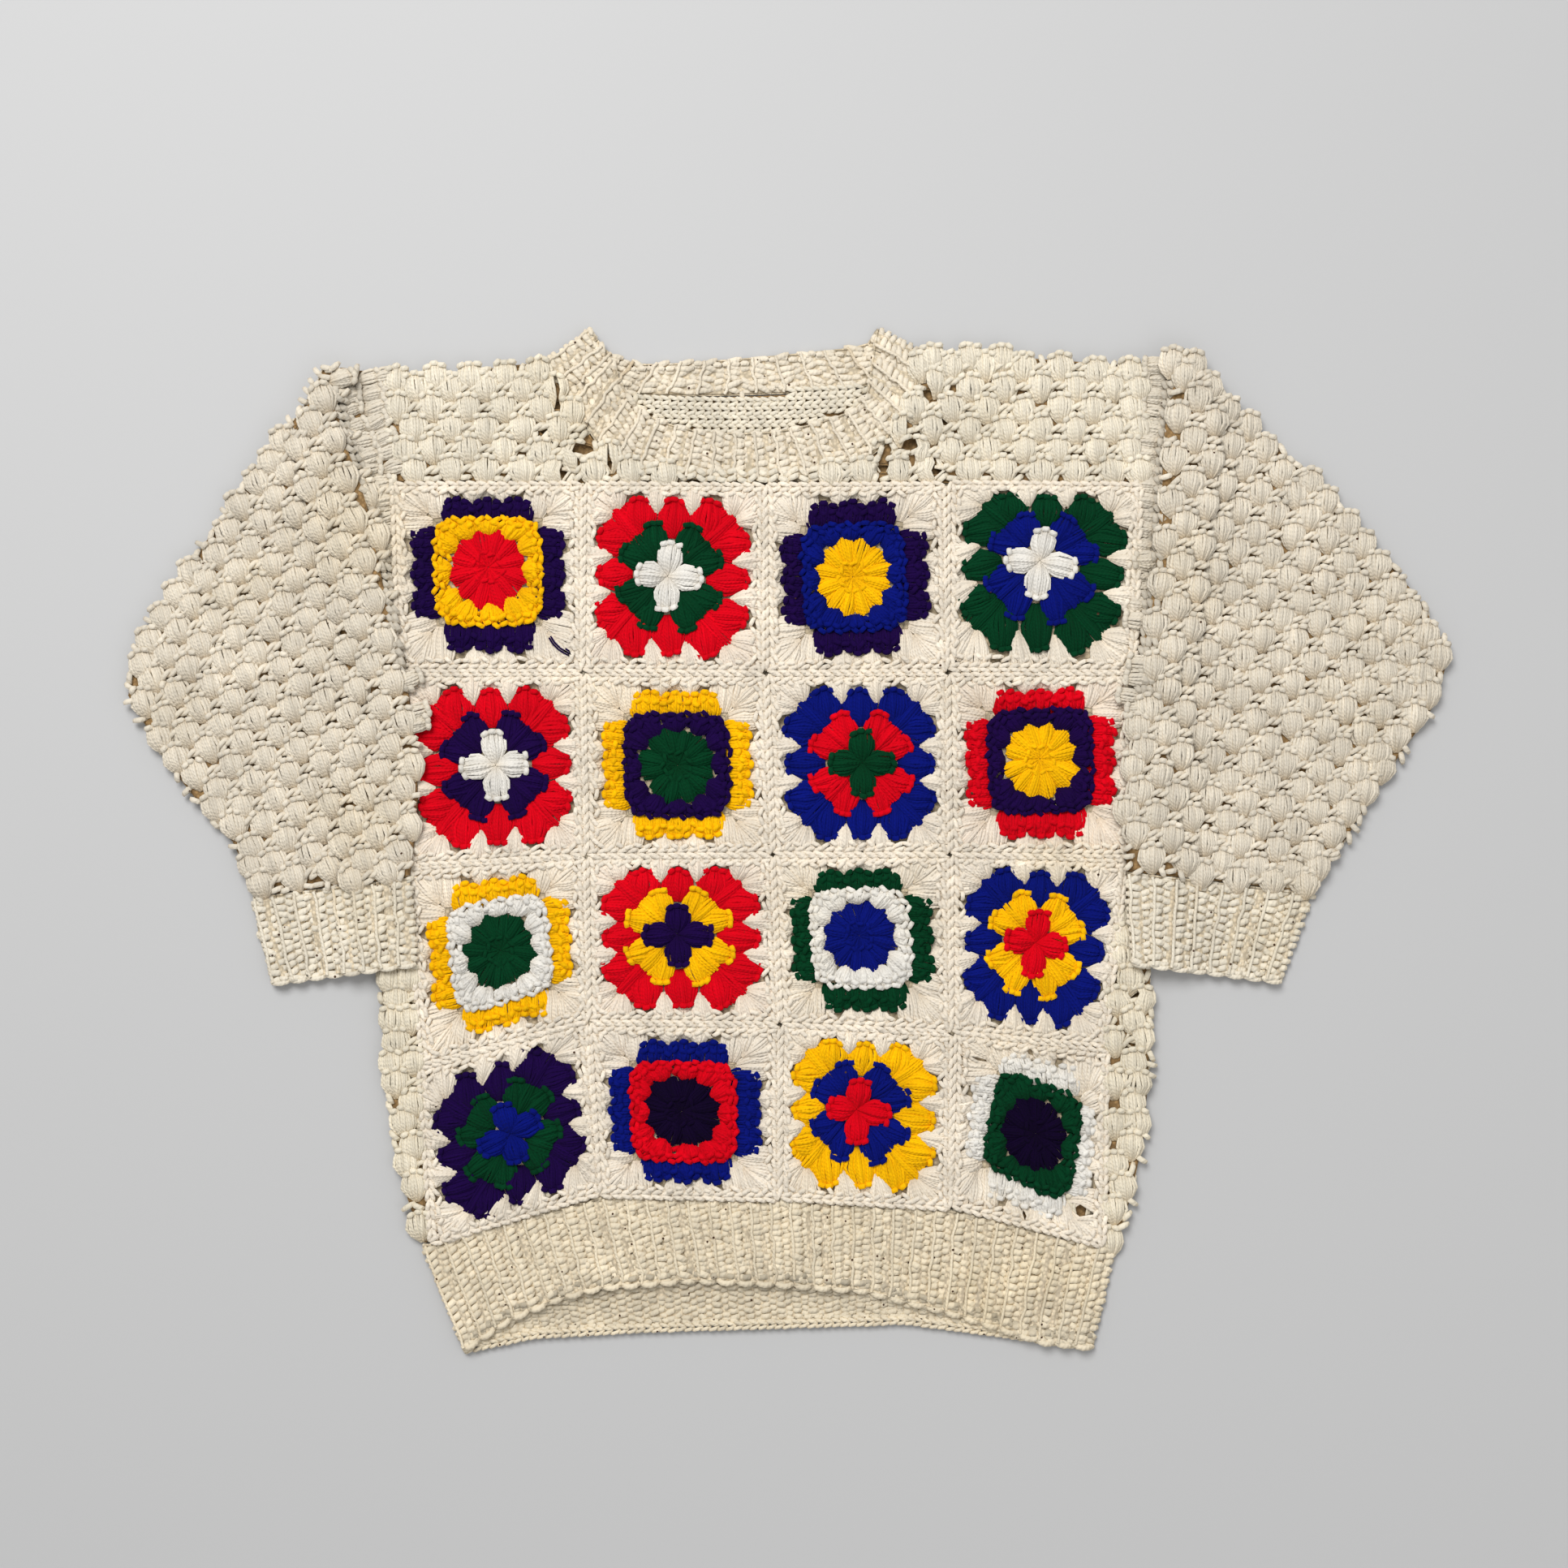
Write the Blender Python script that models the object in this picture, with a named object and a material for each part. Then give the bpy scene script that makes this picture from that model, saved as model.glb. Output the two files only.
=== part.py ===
"""Granny square sweater, laid flat on its back with the front up.

Sixteen crocheted squares make the front. The back is one panel of cluster rows whose
sides wrap round to the front. Each sleeve is one sheet of cloth: it leaves the front
armhole, turns back under itself in a pleat, folds beside the body and closes at the
outer edge. Ribbed bands finish the neck, the hem and the cuffs.

Every size and table is in millimetres, x to the right, y up the garment, z up from the
floor. add_solid turns them into metres.
"""
import math

import bmesh
import bpy
import numpy as np

MM = 0.001

# Cloth
WALL = 3.0            # one layer of crochet in thick yarn
SEAM_GAP = 0.3        # clearance where two pieces are joined
CURVE_GAP = 0.8       # clearance along curved seams, where the facets differ
RIB_RELIEF = 1.2      # how far a rib stands out of its band
ROUND_RELIEF = 1.2    # how far a round of clusters stands out of its square

# Height of the middle of each layer above the floor
FLOOR_LAYER = WALL / 2
FRONT_LAYER = FLOOR_LAYER + WALL + SEAM_GAP
TUCK_LAYER = FRONT_LAYER + WALL + ROUND_RELIEF + SEAM_GAP
TOP_LAYER = TUCK_LAYER + WALL + SEAM_GAP
FOLD_RADIUS = (FRONT_LAYER - FLOOR_LAYER) / 2
TURN_STEPS = 4        # facets in a half turn of the cloth

# Seams across the front from the yokes to the hem: x and y of the five corners on each
SEAM_LINES = (
    ((-252.6, -130.4, -15.0, 99.9, 224.0), (225.7, 225.7, 225.7, 225.7, 225.7)),
    ((-248.4, -130.4, -14.5, 100.9, 221.5), (105.0, 105.0, 105.0, 105.0, 105.0)),
    ((-242.8, -128.4, -10.0, 102.0, 215.0), (-17.6, -11.5, -10.4, -10.4, -13.0)),
    ((-234.0, -126.8, -5.2, 103.5, 201.4), (-143.9, -116.5, -118.0, -123.7, -132.0)),
    ((-229.6, -120.1, -5.2, 103.5, 201.4), (-257.0, -227.2, -229.8, -235.5, -258.8)),
)
# Middle of the motif in each square, x and y, row by row
MOTIF_CENTRES = (
    ((-191.0, 172.4), (-77.1, 166.7), (40.4, 166.2), (159.4, 176.5)),
    ((-186.3, 46.6), (-70.9, 46.6), (46.6, 48.1), (159.4, 50.7)),
    ((-183.2, -70.9), (-70.9, -60.6), (44.5, -61.6), (156.8, -65.7)),
    ((-177.0, -187.4), (-68.3, -173.4), (43.0, -171.8), (156.8, -187.4)),
)
# Rings of a square: share of the way to the side, share of that to the corner, relief
ROUND_RINGS = (
    (0.20, 0.76, 1.0),
    (0.40, 0.76, 0.2),
    (0.50, 0.80, 0.9),
    (0.61, 0.88, 0.2),
    (0.72, 0.92, 1.0),
    (0.83, 0.97, 0.2),
    (0.91, 1.00, 0.8),
    (1.00, 1.00, 0.0),
)

# Shoulder corners: armhole end and neck end on each side
SHOULDERS = {
    "left": ((-254.7, 291.4), (-155.8, 303.3)),
    "right": ((224.6, 300.2), (85.4, 310.0)),
}
SIDES = {"left": -1, "right": 1}

# Neckband, from the left shoulder to the right: inner edge x, y, outer edge x, y
BAND_FRONT = (
    (-126.8, 324.5, -155.8, 303.3),
    (-119.0, 314.2, -146.0, 288.8),
    (-111.3, 303.3, -134.6, 272.3),
    (-104.0, 285.2, -122.7, 252.6),
    (-89.0, 269.2, -102.0, 237.6),
    (-63.1, 260.4, -69.4, 229.3),
    (-34.7, 257.8, -34.7, 227.0),
    (-6.2, 259.3, -3.6, 227.0),
    (20.7, 265.5, 27.4, 232.9),
    (40.4, 272.8, 54.9, 244.8),
    (49.7, 284.2, 70.4, 264.5),
    (52.3, 301.8, 81.8, 288.3),
    (55.9, 325.1, 85.4, 310.0),
)
BAND_BACK = (
    (-126.8, 324.5, -155.8, 303.3),
    (-113.9, 309.0, -134.6, 290.4),
    (-94.2, 302.3, -102.0, 282.6),
    (-34.7, 305.4, -34.7, 282.1),
    (30.0, 311.6, 39.3, 286.2),
    (49.7, 315.2, 68.8, 295.5),
    (55.9, 325.1, 85.4, 310.0),
)
BAND_RIBS = 26
BAND_BACK_STEPS = 16
RIB_STEPS = 4         # columns of points across one rib
YOKE_STEPS = 20       # points along one half of the neck curve
YOKE_TIP = 3.0        # height of a yoke's last row, under the neckband

# Fold down each side of the body below the armhole: x, y
BODY_SIDES = {
    "left": ((-259.8, 72.0), (-259.8, -94.2), (-256.7, -153.7), (-252.6, -187.9),
             (-245.9, -222.1), (-234.4, -257.0)),
    "right": ((230.8, 72.0), (230.8, -122.7), (229.3, -153.7), (226.7, -190.0),
              (218.9, -226.2), (208.6, -258.6)),
}
SIDE_TOP = 72.0       # where the side folds begin, under the arms
ARMHOLE_FOOT = 92.0   # where the armhole edge of the back leaves the seam

# Hem band: fold at each end, and lower edges of the front and the back, x, y
HEM_FOLDS = {
    "left": ((-233.6, -258.2), (-206.5, -325.1)),
    "right": ((207.8, -259.8), (192.5, -323.5)),
}
BACK_FOOT = ((-240.0, -257.4), (-34.0, -255.0), (215.0, -259.0))
HEM_FRONT_EDGE = ((-206.5, -325.1), (-177.5, -305.9), (-146.0, -292.4), (-120.1, -285.6),
                  (-62.6, -281.0), (-11.4, -283.1), (46.1, -287.3), (103.5, -301.8),
                  (161.0, -320.0), (192.5, -323.5))
HEM_BACK_EDGE = ((-206.5, -325.1), (-163.0, -315.7), (-91.1, -311.6), (14.5, -308.5),
                 (74.5, -306.5), (132.0, -314.2), (192.5, -323.5))
HEM_RIBS = 42
HEM_BACK_STEPS = 18

# Stations down each sleeve, from the shoulder to the cuff. The cloth folds beside the
# body, lies over to its outer edge and returns below. kind says how it leaves the body:
# pleat turns back under the fold by tuck, underarm rises beside the seam, tube is closed.
SLEEVES = {
    # fold x, fold y, edge x, edge y, tuck, edge height, kind
    "left": (
        (-275.5, 297.5, -296.5, 298.5, 15.0, TOP_LAYER, "pleat"),
        (-285.2, 275.9, -310.6, 270.7, 18.0, TOP_LAYER, "pleat"),
        (-281.6, 255.2, -328.7, 248.4, 24.0, 8.0, "pleat"),
        (-268.6, 222.1, -363.4, 200.3, 22.0, FRONT_LAYER, "pleat"),
        (-261.9, 191.0, -393.4, 157.4, 18.0, FRONT_LAYER, "pleat"),
        (-256.2, 162.0, -415.1, 124.2, 14.0, FRONT_LAYER, "pleat"),
        (-248.4, 132.0, -421.3, 90.6, 14.0, FRONT_LAYER, "pleat"),
        (-241.7, 102.5, -404.8, 62.6, 18.0, FRONT_LAYER, "pleat"),
        (-240.0, 93.0, -400.0, 53.5, 0.0, FRONT_LAYER, "underarm"),
        (-238.6, 84.0, -394.0, 45.0, 0.0, FRONT_LAYER, "tube"),
        (-235.0, 58.0, -377.0, 23.5, 0.0, FRONT_LAYER, "tube"),
        (-234.0, 26.0, -355.0, -2.0, 0.0, FRONT_LAYER, "tube"),
        (-236.0, 0.0, -345.5, -22.0, 0.0, FRONT_LAYER, "tube"),
        (-239.1, -23.8, -341.6, -36.7, 0.0, FRONT_LAYER, "tube"),
    ),
    "right": (
        (235.5, 305.8, 251.0, 311.3, 9.0, TOP_LAYER, "pleat"),
        (241.2, 286.2, 274.8, 283.6, 18.0, 9.0, "pleat"),
        (237.1, 260.4, 306.4, 253.1, 22.0, FRONT_LAYER, "pleat"),
        (235.5, 231.9, 341.6, 221.5, 20.0, FRONT_LAYER, "pleat"),
        (233.4, 200.8, 370.6, 187.4, 18.0, FRONT_LAYER, "pleat"),
        (231.4, 169.8, 401.7, 152.7, 16.0, FRONT_LAYER, "pleat"),
        (225.2, 137.2, 421.3, 117.5, 14.0, FRONT_LAYER, "pleat"),
        (218.4, 105.1, 412.0, 85.4, 16.0, FRONT_LAYER, "pleat"),
        (217.4, 96.0, 405.5, 76.0, 0.0, FRONT_LAYER, "underarm"),
        (216.8, 88.0, 401.0, 69.0, 0.0, FRONT_LAYER, "tube"),
        (214.6, 55.0, 379.0, 38.5, 0.0, FRONT_LAYER, "tube"),
        (213.4, 24.0, 361.0, 9.0, 0.0, FRONT_LAYER, "tube"),
        (212.7, 2.0, 348.0, -11.5, 0.0, FRONT_LAYER, "tube"),
        (212.7, -20.2, 333.9, -34.2, 0.0, FRONT_LAYER, "tube"),
    ),
}
# Cuffs, from the sleeve to the hand, in the same columns
CUFFS = {
    "left": (
        (-238.9, -24.4, -341.5, -37.3, 0.0, FRONT_LAYER, "tube"),
        (-235.5, -52.8, -338.0, -63.1, 0.0, FRONT_LAYER, "tube"),
        (-235.5, -79.6, -328.2, -92.6, 0.0, FRONT_LAYER, "tube"),
    ),
    "right": (
        (212.8, -20.8, 333.7, -34.8, 0.0, FRONT_LAYER, "tube"),
        (214.3, -50.2, 323.0, -61.6, 0.0, FRONT_LAYER, "tube"),
        (216.4, -79.0, 313.1, -91.5, 0.0, FRONT_LAYER, "tube"),
    ),
}
CUFF_RIBS = 10
# Start of a section, where the sleeve rises over the body: distance past the body's
# side, and height. The first comes up beside the armhole seam, the second from the floor.
UNDERARM_RISE = ((-1.9, 4.8), (-2.3, 5.4), (-2.6, 6.2), (-2.5, 7.2), (-1.8, 8.3),
                 (-0.2, 9.1), (2.5, TUCK_LAYER))
SIDE_RISE = ((-8.0, FLOOR_LAYER), (-5.0, 1.6), (-3.2, 2.6), (-2.3, 4.6), (-1.4, 6.9),
             (1.0, 8.8), (4.5, TUCK_LAYER))
KNEE_MARGIN = 4.0     # the top layer stays up this far past the turn below it
KNEE_RUN = 30.0       # longest slope from the top layer down to its outer side
KNEE_SHARE = 0.7      # most of the way to the outer edge that the slope may take

# Gaps between clusters that go right through: x, y, width, height
OPEN_GAPS = {
    "yoke_left": ((-147.0, 275.4, 10.4, 5.2), (-154.8, 258.8, 6.2, 4.2),
                  (-132.0, 247.4, 15.5, 6.2), (-113.4, 237.1, 6.2, 6.7),
                  (-142.9, 231.8, 13.0, 4.6)),
    "yoke_right": ((87.6, 282.1, 8.6, 6.2), (98.3, 264.5, 5.2, 4.4),
                   (76.2, 250.5, 14.5, 7.4), (60.0, 235.2, 12.5, 4.4),
                   (93.7, 234.0, 10.4, 5.2)),
    "square_44": ((185.3, -236.0, 10.4, 12.6), (149.6, -239.6, 4.7, 6.2)),
    "back": ((218.4, -99.4, 12.6, 4.4),),
}
GAP_SIDES = 10        # facets round one gap

# Finish of each kind of piece: sRGB colour and roughness
CREAM = ((226, 216, 198), 0.9)
SQUARE_COLOURS = (
    ((250, 195, 20), (0, 75, 45), (20, 40, 150), (20, 40, 150)),
    ((50, 10, 90), (50, 10, 90), (225, 0, 25), (50, 10, 90)),
    ((225, 222, 215), (250, 195, 20), (225, 222, 215), (250, 195, 20)),
    ((0, 75, 45), (225, 0, 25), (20, 40, 150), (0, 75, 45)),
)


def linear(channel):
    """An sRGB channel from 0 to 255 as a linear value."""
    value = channel / 255
    if value <= 0.04045:
        return value / 12.92
    return ((value + 0.055) / 1.055) ** 2.4


def yarn_material(name, rgb, roughness):
    """A plain matt yarn."""
    material = bpy.data.materials.new(name)
    material.use_nodes = True
    shader = material.node_tree.nodes["Principled BSDF"]
    shader.inputs["Base Color"].default_value = (*[linear(c) for c in rgb], 1.0)
    shader.inputs["Roughness"].default_value = roughness
    shader.inputs["Metallic"].default_value = 0.0
    return material


def add_solid(name, vertices, faces, finish, parent):
    """Make an object from millimetre points, with its faces turned outwards."""
    mesh = bpy.data.meshes.new(name)
    mesh.from_pydata([tuple(p * MM for p in v) for v in vertices], [], faces)
    shape = bmesh.new()
    shape.from_mesh(mesh)
    bmesh.ops.recalc_face_normals(shape, faces=shape.faces)
    shape.to_mesh(mesh)
    shape.free()
    mesh.materials.append(yarn_material(name, *finish))
    solid = bpy.data.objects.new(name, mesh)
    solid.parent = parent
    bpy.context.collection.objects.link(solid)
    return solid


def unit(vector):
    return vector / max(float(np.linalg.norm(vector)), 1e-9)


def along(points, x):
    """Height of a line of (x, y) points at x, held level past its ends."""
    points = sorted(points)
    return float(np.interp(x, [p[0] for p in points], [p[1] for p in points]))


def across(points, y):
    """x of a line of (x, y) points at y, held past its ends."""
    points = sorted(points, key=lambda p: p[1])
    return float(np.interp(y, [p[1] for p in points], [p[0] for p in points]))


def smooth_curve(rows, steps, trim=0.0):
    """Rows of numbers on a smooth curve through the given rows, evenly spaced.

    trim leaves out that much of the curve at each end.
    """
    rows = np.array(rows, dtype=float)
    ends = np.vstack([2 * rows[0] - rows[1], rows, 2 * rows[-1] - rows[-2]])
    fine = []
    for k in range(len(rows) - 1):
        p0, p1, p2, p3 = ends[k:k + 4]
        for t in np.linspace(0.0, 1.0, 12, endpoint=False):
            fine.append(0.5 * (2 * p1 + (p2 - p0) * t + (2 * p0 - 5 * p1 + 4 * p2 - p3) * t ** 2
                               + (3 * p1 - p0 - 3 * p2 + p3) * t ** 3))
    fine.append(rows[-1])
    fine = np.array(fine)
    lengths = np.linalg.norm(np.diff(fine, axis=0), axis=1)
    travelled = np.concatenate([[0.0], np.cumsum(lengths)])
    wanted = np.linspace(trim, travelled[-1] - trim, steps + 1)
    return np.array([[np.interp(w, travelled, fine[:, c]) for c in range(fine.shape[1])]
                     for w in wanted])


def layer_normals(grid, joined_from):
    """Direction out of the cloth at each point, lengthened where the cloth turns."""
    rows, columns, _ = grid.shape
    normals = np.zeros_like(grid)
    for i in range(rows):
        joined = i >= joined_from
        for j in range(columns):
            before = j - 1
            after = j + 1
            if before < 0:
                before = columns - 2 if joined else None
            if after >= columns:
                after = 1 if joined else None
            here = grid[i, j]
            arriving = unit(here - grid[i, before]) if before is not None else None
            leaving = unit(grid[i, after] - here) if after is not None else arriving
            if arriving is None:
                arriving = leaving
            tangent = unit(arriving + leaving)
            down = grid[min(i + 1, rows - 1), j] - grid[max(i - 1, 0), j]
            stretch = 1.0 / max(float(np.dot(arriving, tangent)), 0.6)
            normals[i, j] = unit(np.cross(tangent, down)) * stretch
    return normals


def cloth_wall(name, grid, finish, parent, outward=1, joined_from=None, relief=None, keep=None):
    """A wall of cloth round a grid of middle points, rows down and columns across.

    From row joined_from the last column is the first one again, so the wall closes into
    a tube. relief raises the outer points, and keep(row, column) says which cells are cloth.
    Nothing reaches below the floor.
    """
    rows, columns, _ = grid.shape
    if joined_from is None:
        joined_from = rows
    if relief is None:
        relief = np.zeros((rows, columns))
    normals = layer_normals(grid, joined_from) * outward
    outer = grid + normals * (WALL / 2 + relief)[:, :, None]
    inner = grid - normals * (WALL / 2)
    for surface in (outer, inner):
        surface[:, :, 2] = np.maximum(surface[:, :, 2], 0.0)

    def corner(i, j):
        return (i, 0) if j == columns - 1 and i >= joined_from else (i, j)

    cells = [[corner(i, j), corner(i + 1, j), corner(i + 1, j + 1), corner(i, j + 1)]
             for i in range(rows - 1) for j in range(columns - 1)
             if keep is None or keep(i, j)]
    sides = {(cell[k], cell[(k + 1) % 4]) for cell in cells for k in range(4)}
    order = sorted({point for cell in cells for point in cell})
    index = {point: n for n, point in enumerate(order)}
    count = len(order)
    vertices = [outer[point] for point in order] + [inner[point] for point in order]
    faces = [[index[p] for p in cell] for cell in cells]
    faces += [[index[p] + count for p in reversed(cell)] for cell in cells]
    for start, end in sorted(sides):
        if (end, start) not in sides:
            faces.append([index[end], index[start], index[start] + count, index[end] + count])
    return add_solid(name, vertices, faces, finish, parent)


def front_edge(side, y):
    """x of the side seam of the front at height y, shoulder to hem."""
    column = 0 if side == "left" else 4
    points = [(xs[column], ys[column]) for xs, ys in SEAM_LINES]
    return across(points + [SHOULDERS[side][0]], y)


def square_panel(name, corners, centre, finish, parent):
    """One granny square: its rounds are raised rings over a flat underside."""
    centre = np.array(centre)
    inset = [np.array(c) + np.sign(centre - np.array(c)) * SEAM_GAP / 2 for c in corners]
    rim = []
    for k in range(4):
        rim.append((inset[k], True))
        rim.append(((inset[k] + inset[(k + 1) % 4]) / 2, False))
    base = FRONT_LAYER - WALL / 2
    top = FRONT_LAYER + WALL / 2
    vertices = [(*centre, top + ROUND_RELIEF * 0.8)]
    for share, corner_share, height in ROUND_RINGS:
        for point, is_corner in rim:
            reach = share * (corner_share if is_corner else 1.0)
            place = centre + (point - centre) * reach
            vertices.append((*place, top + ROUND_RELIEF * height))
    vertices += [(*point, base) for point, _ in rim]
    around = len(rim)
    faces = [[0, 1 + k, 1 + (k + 1) % around] for k in range(around)]
    for ring in range(len(ROUND_RINGS)):
        low = 1 + ring * around
        high = low + around
        for k in range(around):
            beside = (k + 1) % around
            faces.append([low + k, high + k, high + beside, low + beside])
    last = 1 + len(ROUND_RINGS) * around
    faces.append([last + k for k in range(around)])
    return add_solid(name, vertices, faces, finish, parent)


def front_squares(parent):
    """Sixteen squares between the seam lines."""
    solids = {}
    for row in range(4):
        upper = SEAM_LINES[row]
        lower = SEAM_LINES[row + 1]
        for column in range(4):
            corners = ((upper[0][column], upper[1][column]),
                       (upper[0][column + 1], upper[1][column + 1]),
                       (lower[0][column + 1], lower[1][column + 1]),
                       (lower[0][column], lower[1][column]))
            name = f"square_{row + 1}{column + 1}"
            finish = (SQUARE_COLOURS[row][column], CREAM[1])
            solids[name] = square_panel(name, corners, MOTIF_CENTRES[row][column], finish, parent)
    return solids


def yoke(side, parent):
    """Front panel between the armhole, the shoulder, the neckband and the squares."""
    sign = SIDES[side]
    band = smooth_curve(BAND_FRONT, 2 * YOKE_STEPS)[:, 2:]
    half = band[:YOKE_STEPS + 1] if side == "left" else band[YOKE_STEPS:][::-1]
    floor_y = SEAM_LINES[0][1][0] + SEAM_GAP
    tip = next(k for k, p in enumerate(half) if p[1] < floor_y + YOKE_TIP)
    neck = half[:tip + 1][::-1]
    rows = []
    for k, point in enumerate(neck):
        share = k / (len(neck) - 1)
        arm_y = floor_y + share * (SHOULDERS[side][0][1] - floor_y)
        arm = np.array([front_edge(side, arm_y), arm_y])
        ahead = neck[min(k + 1, len(neck) - 1)] - neck[max(k - 1, 0)]
        away = unit(np.array([ahead[1], -ahead[0]]))
        away = away * np.sign(away[0]) * sign
        edge = point + away * CURVE_GAP
        edge[1] = max(edge[1], floor_y) if k else floor_y
        rows.append([[*(arm + (edge - arm) * u), FRONT_LAYER] for u in np.linspace(0, 1, 7)])
    return cloth_wall(f"yoke_{side}", np.array(rows), CREAM, parent)


def half_turn(x, z, radius, start, end):
    """Points of a turn in a section, after its first one; angles in degrees."""
    return [(x + radius * math.cos(math.radians(a)), z + radius * math.sin(math.radians(a)))
            for a in np.linspace(start, end, TURN_STEPS + 1)[1:]]


def band_ring(front, back, left_out, right_out):
    """Columns round a flattened band: front, right fold, back, left fold, first again.

    front and back are lists of (upper, lower) points, the front from left to right and
    the back from right to left. The folds reach out along left_out and right_out.
    """
    middle = (FRONT_LAYER + FLOOR_LAYER) / 2
    turn = half_turn(0.0, middle, FOLD_RADIUS, 90, -90)[:-1]

    def fold(over, under, out, points):
        """Columns of a fold that goes from column over to column under."""
        columns = []
        for k, (reach, z) in enumerate(points):
            share = (k + 1) / TURN_STEPS
            columns.append([(*(np.array(p) * (1 - share) + np.array(q) * share
                               + np.array(out) * reach), z) for p, q in zip(over, under)])
        return columns

    ring = [[(*upper, FRONT_LAYER), (*lower, FRONT_LAYER)] for upper, lower in front]
    ring += fold(front[-1], back[0], right_out, turn)
    ring += [[(*upper, FLOOR_LAYER), (*lower, FLOOR_LAYER)] for upper, lower in back]
    ring += fold(back[-1], front[0], left_out, turn[::-1])
    ring.append(ring[0])
    return np.array(ring).transpose(1, 0, 2)


def rib_relief(ribs, shape):
    """Ridges over the first columns of a grid, RIB_STEPS columns to a rib."""
    relief = np.zeros(shape)
    for column in range(ribs * RIB_STEPS + 1):
        if column % RIB_STEPS in (1, 2):
            relief[:, column] = RIB_RELIEF
    return relief


def band_curve(table, steps):
    """Columns along one half of the neckband, short of the folds by the turn's reach."""
    reach = FOLD_RADIUS + WALL / 2
    return smooth_curve(table, steps, trim=reach * math.sqrt(2))


def neckband(parent):
    """Ribbed ring round the neck, its back half on the floor."""
    front = band_curve(BAND_FRONT, BAND_RIBS * RIB_STEPS)
    back = band_curve(BAND_BACK, BAND_BACK_STEPS)[::-1]
    outs = []
    for at, beside in ((0, 1), (-1, -2)):
        inner_x, inner_y, outer_x, outer_y = BAND_FRONT[at]
        across_fold = unit(np.array([outer_y - inner_y, inner_x - outer_x]))
        inwards = np.array(BAND_FRONT[beside][:2]) - np.array([inner_x, inner_y])
        outs.append(-across_fold * np.sign(np.dot(across_fold, inwards)))
    grid = band_ring([(row[:2], row[2:]) for row in front],
                     [(row[:2], row[2:]) for row in back], *outs)
    relief = rib_relief(BAND_RIBS, grid.shape[:2])
    return cloth_wall("neckband", grid, CREAM, parent, joined_from=0, relief=relief, outward=-1)


def hem_band(parent):
    """Ribbed ring round the hem; the front half is drawn up in the middle."""
    reach = FOLD_RADIUS + WALL / 2
    seam = list(zip(*SEAM_LINES[4]))
    left_top, left_foot = HEM_FOLDS["left"]
    right_top, right_foot = HEM_FOLDS["right"]
    steps = HEM_RIBS * RIB_STEPS

    def columns(top_line, foot_line, count):
        made = []
        for share in np.linspace(0, 1, count + 1):
            top_x = left_top[0] + reach + share * (right_top[0] - left_top[0] - 2 * reach)
            foot_x = left_foot[0] + reach + share * (right_foot[0] - left_foot[0] - 2 * reach)
            made.append(((top_x, along(top_line, top_x) - CURVE_GAP),
                         (foot_x, along(foot_line, foot_x))))
        return made

    front = columns(seam, HEM_FRONT_EDGE, steps)
    back = columns(BACK_FOOT, HEM_BACK_EDGE, HEM_BACK_STEPS)[::-1]
    back[0] = front[-1]
    back[-1] = front[0]
    grid = band_ring(front, back, (-1.0, 0.0), (1.0, 0.0))
    relief = rib_relief(HEM_RIBS, grid.shape[:2])
    return cloth_wall("hem_rib", grid, CREAM, parent, joined_from=0, relief=relief, outward=-1)


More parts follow.
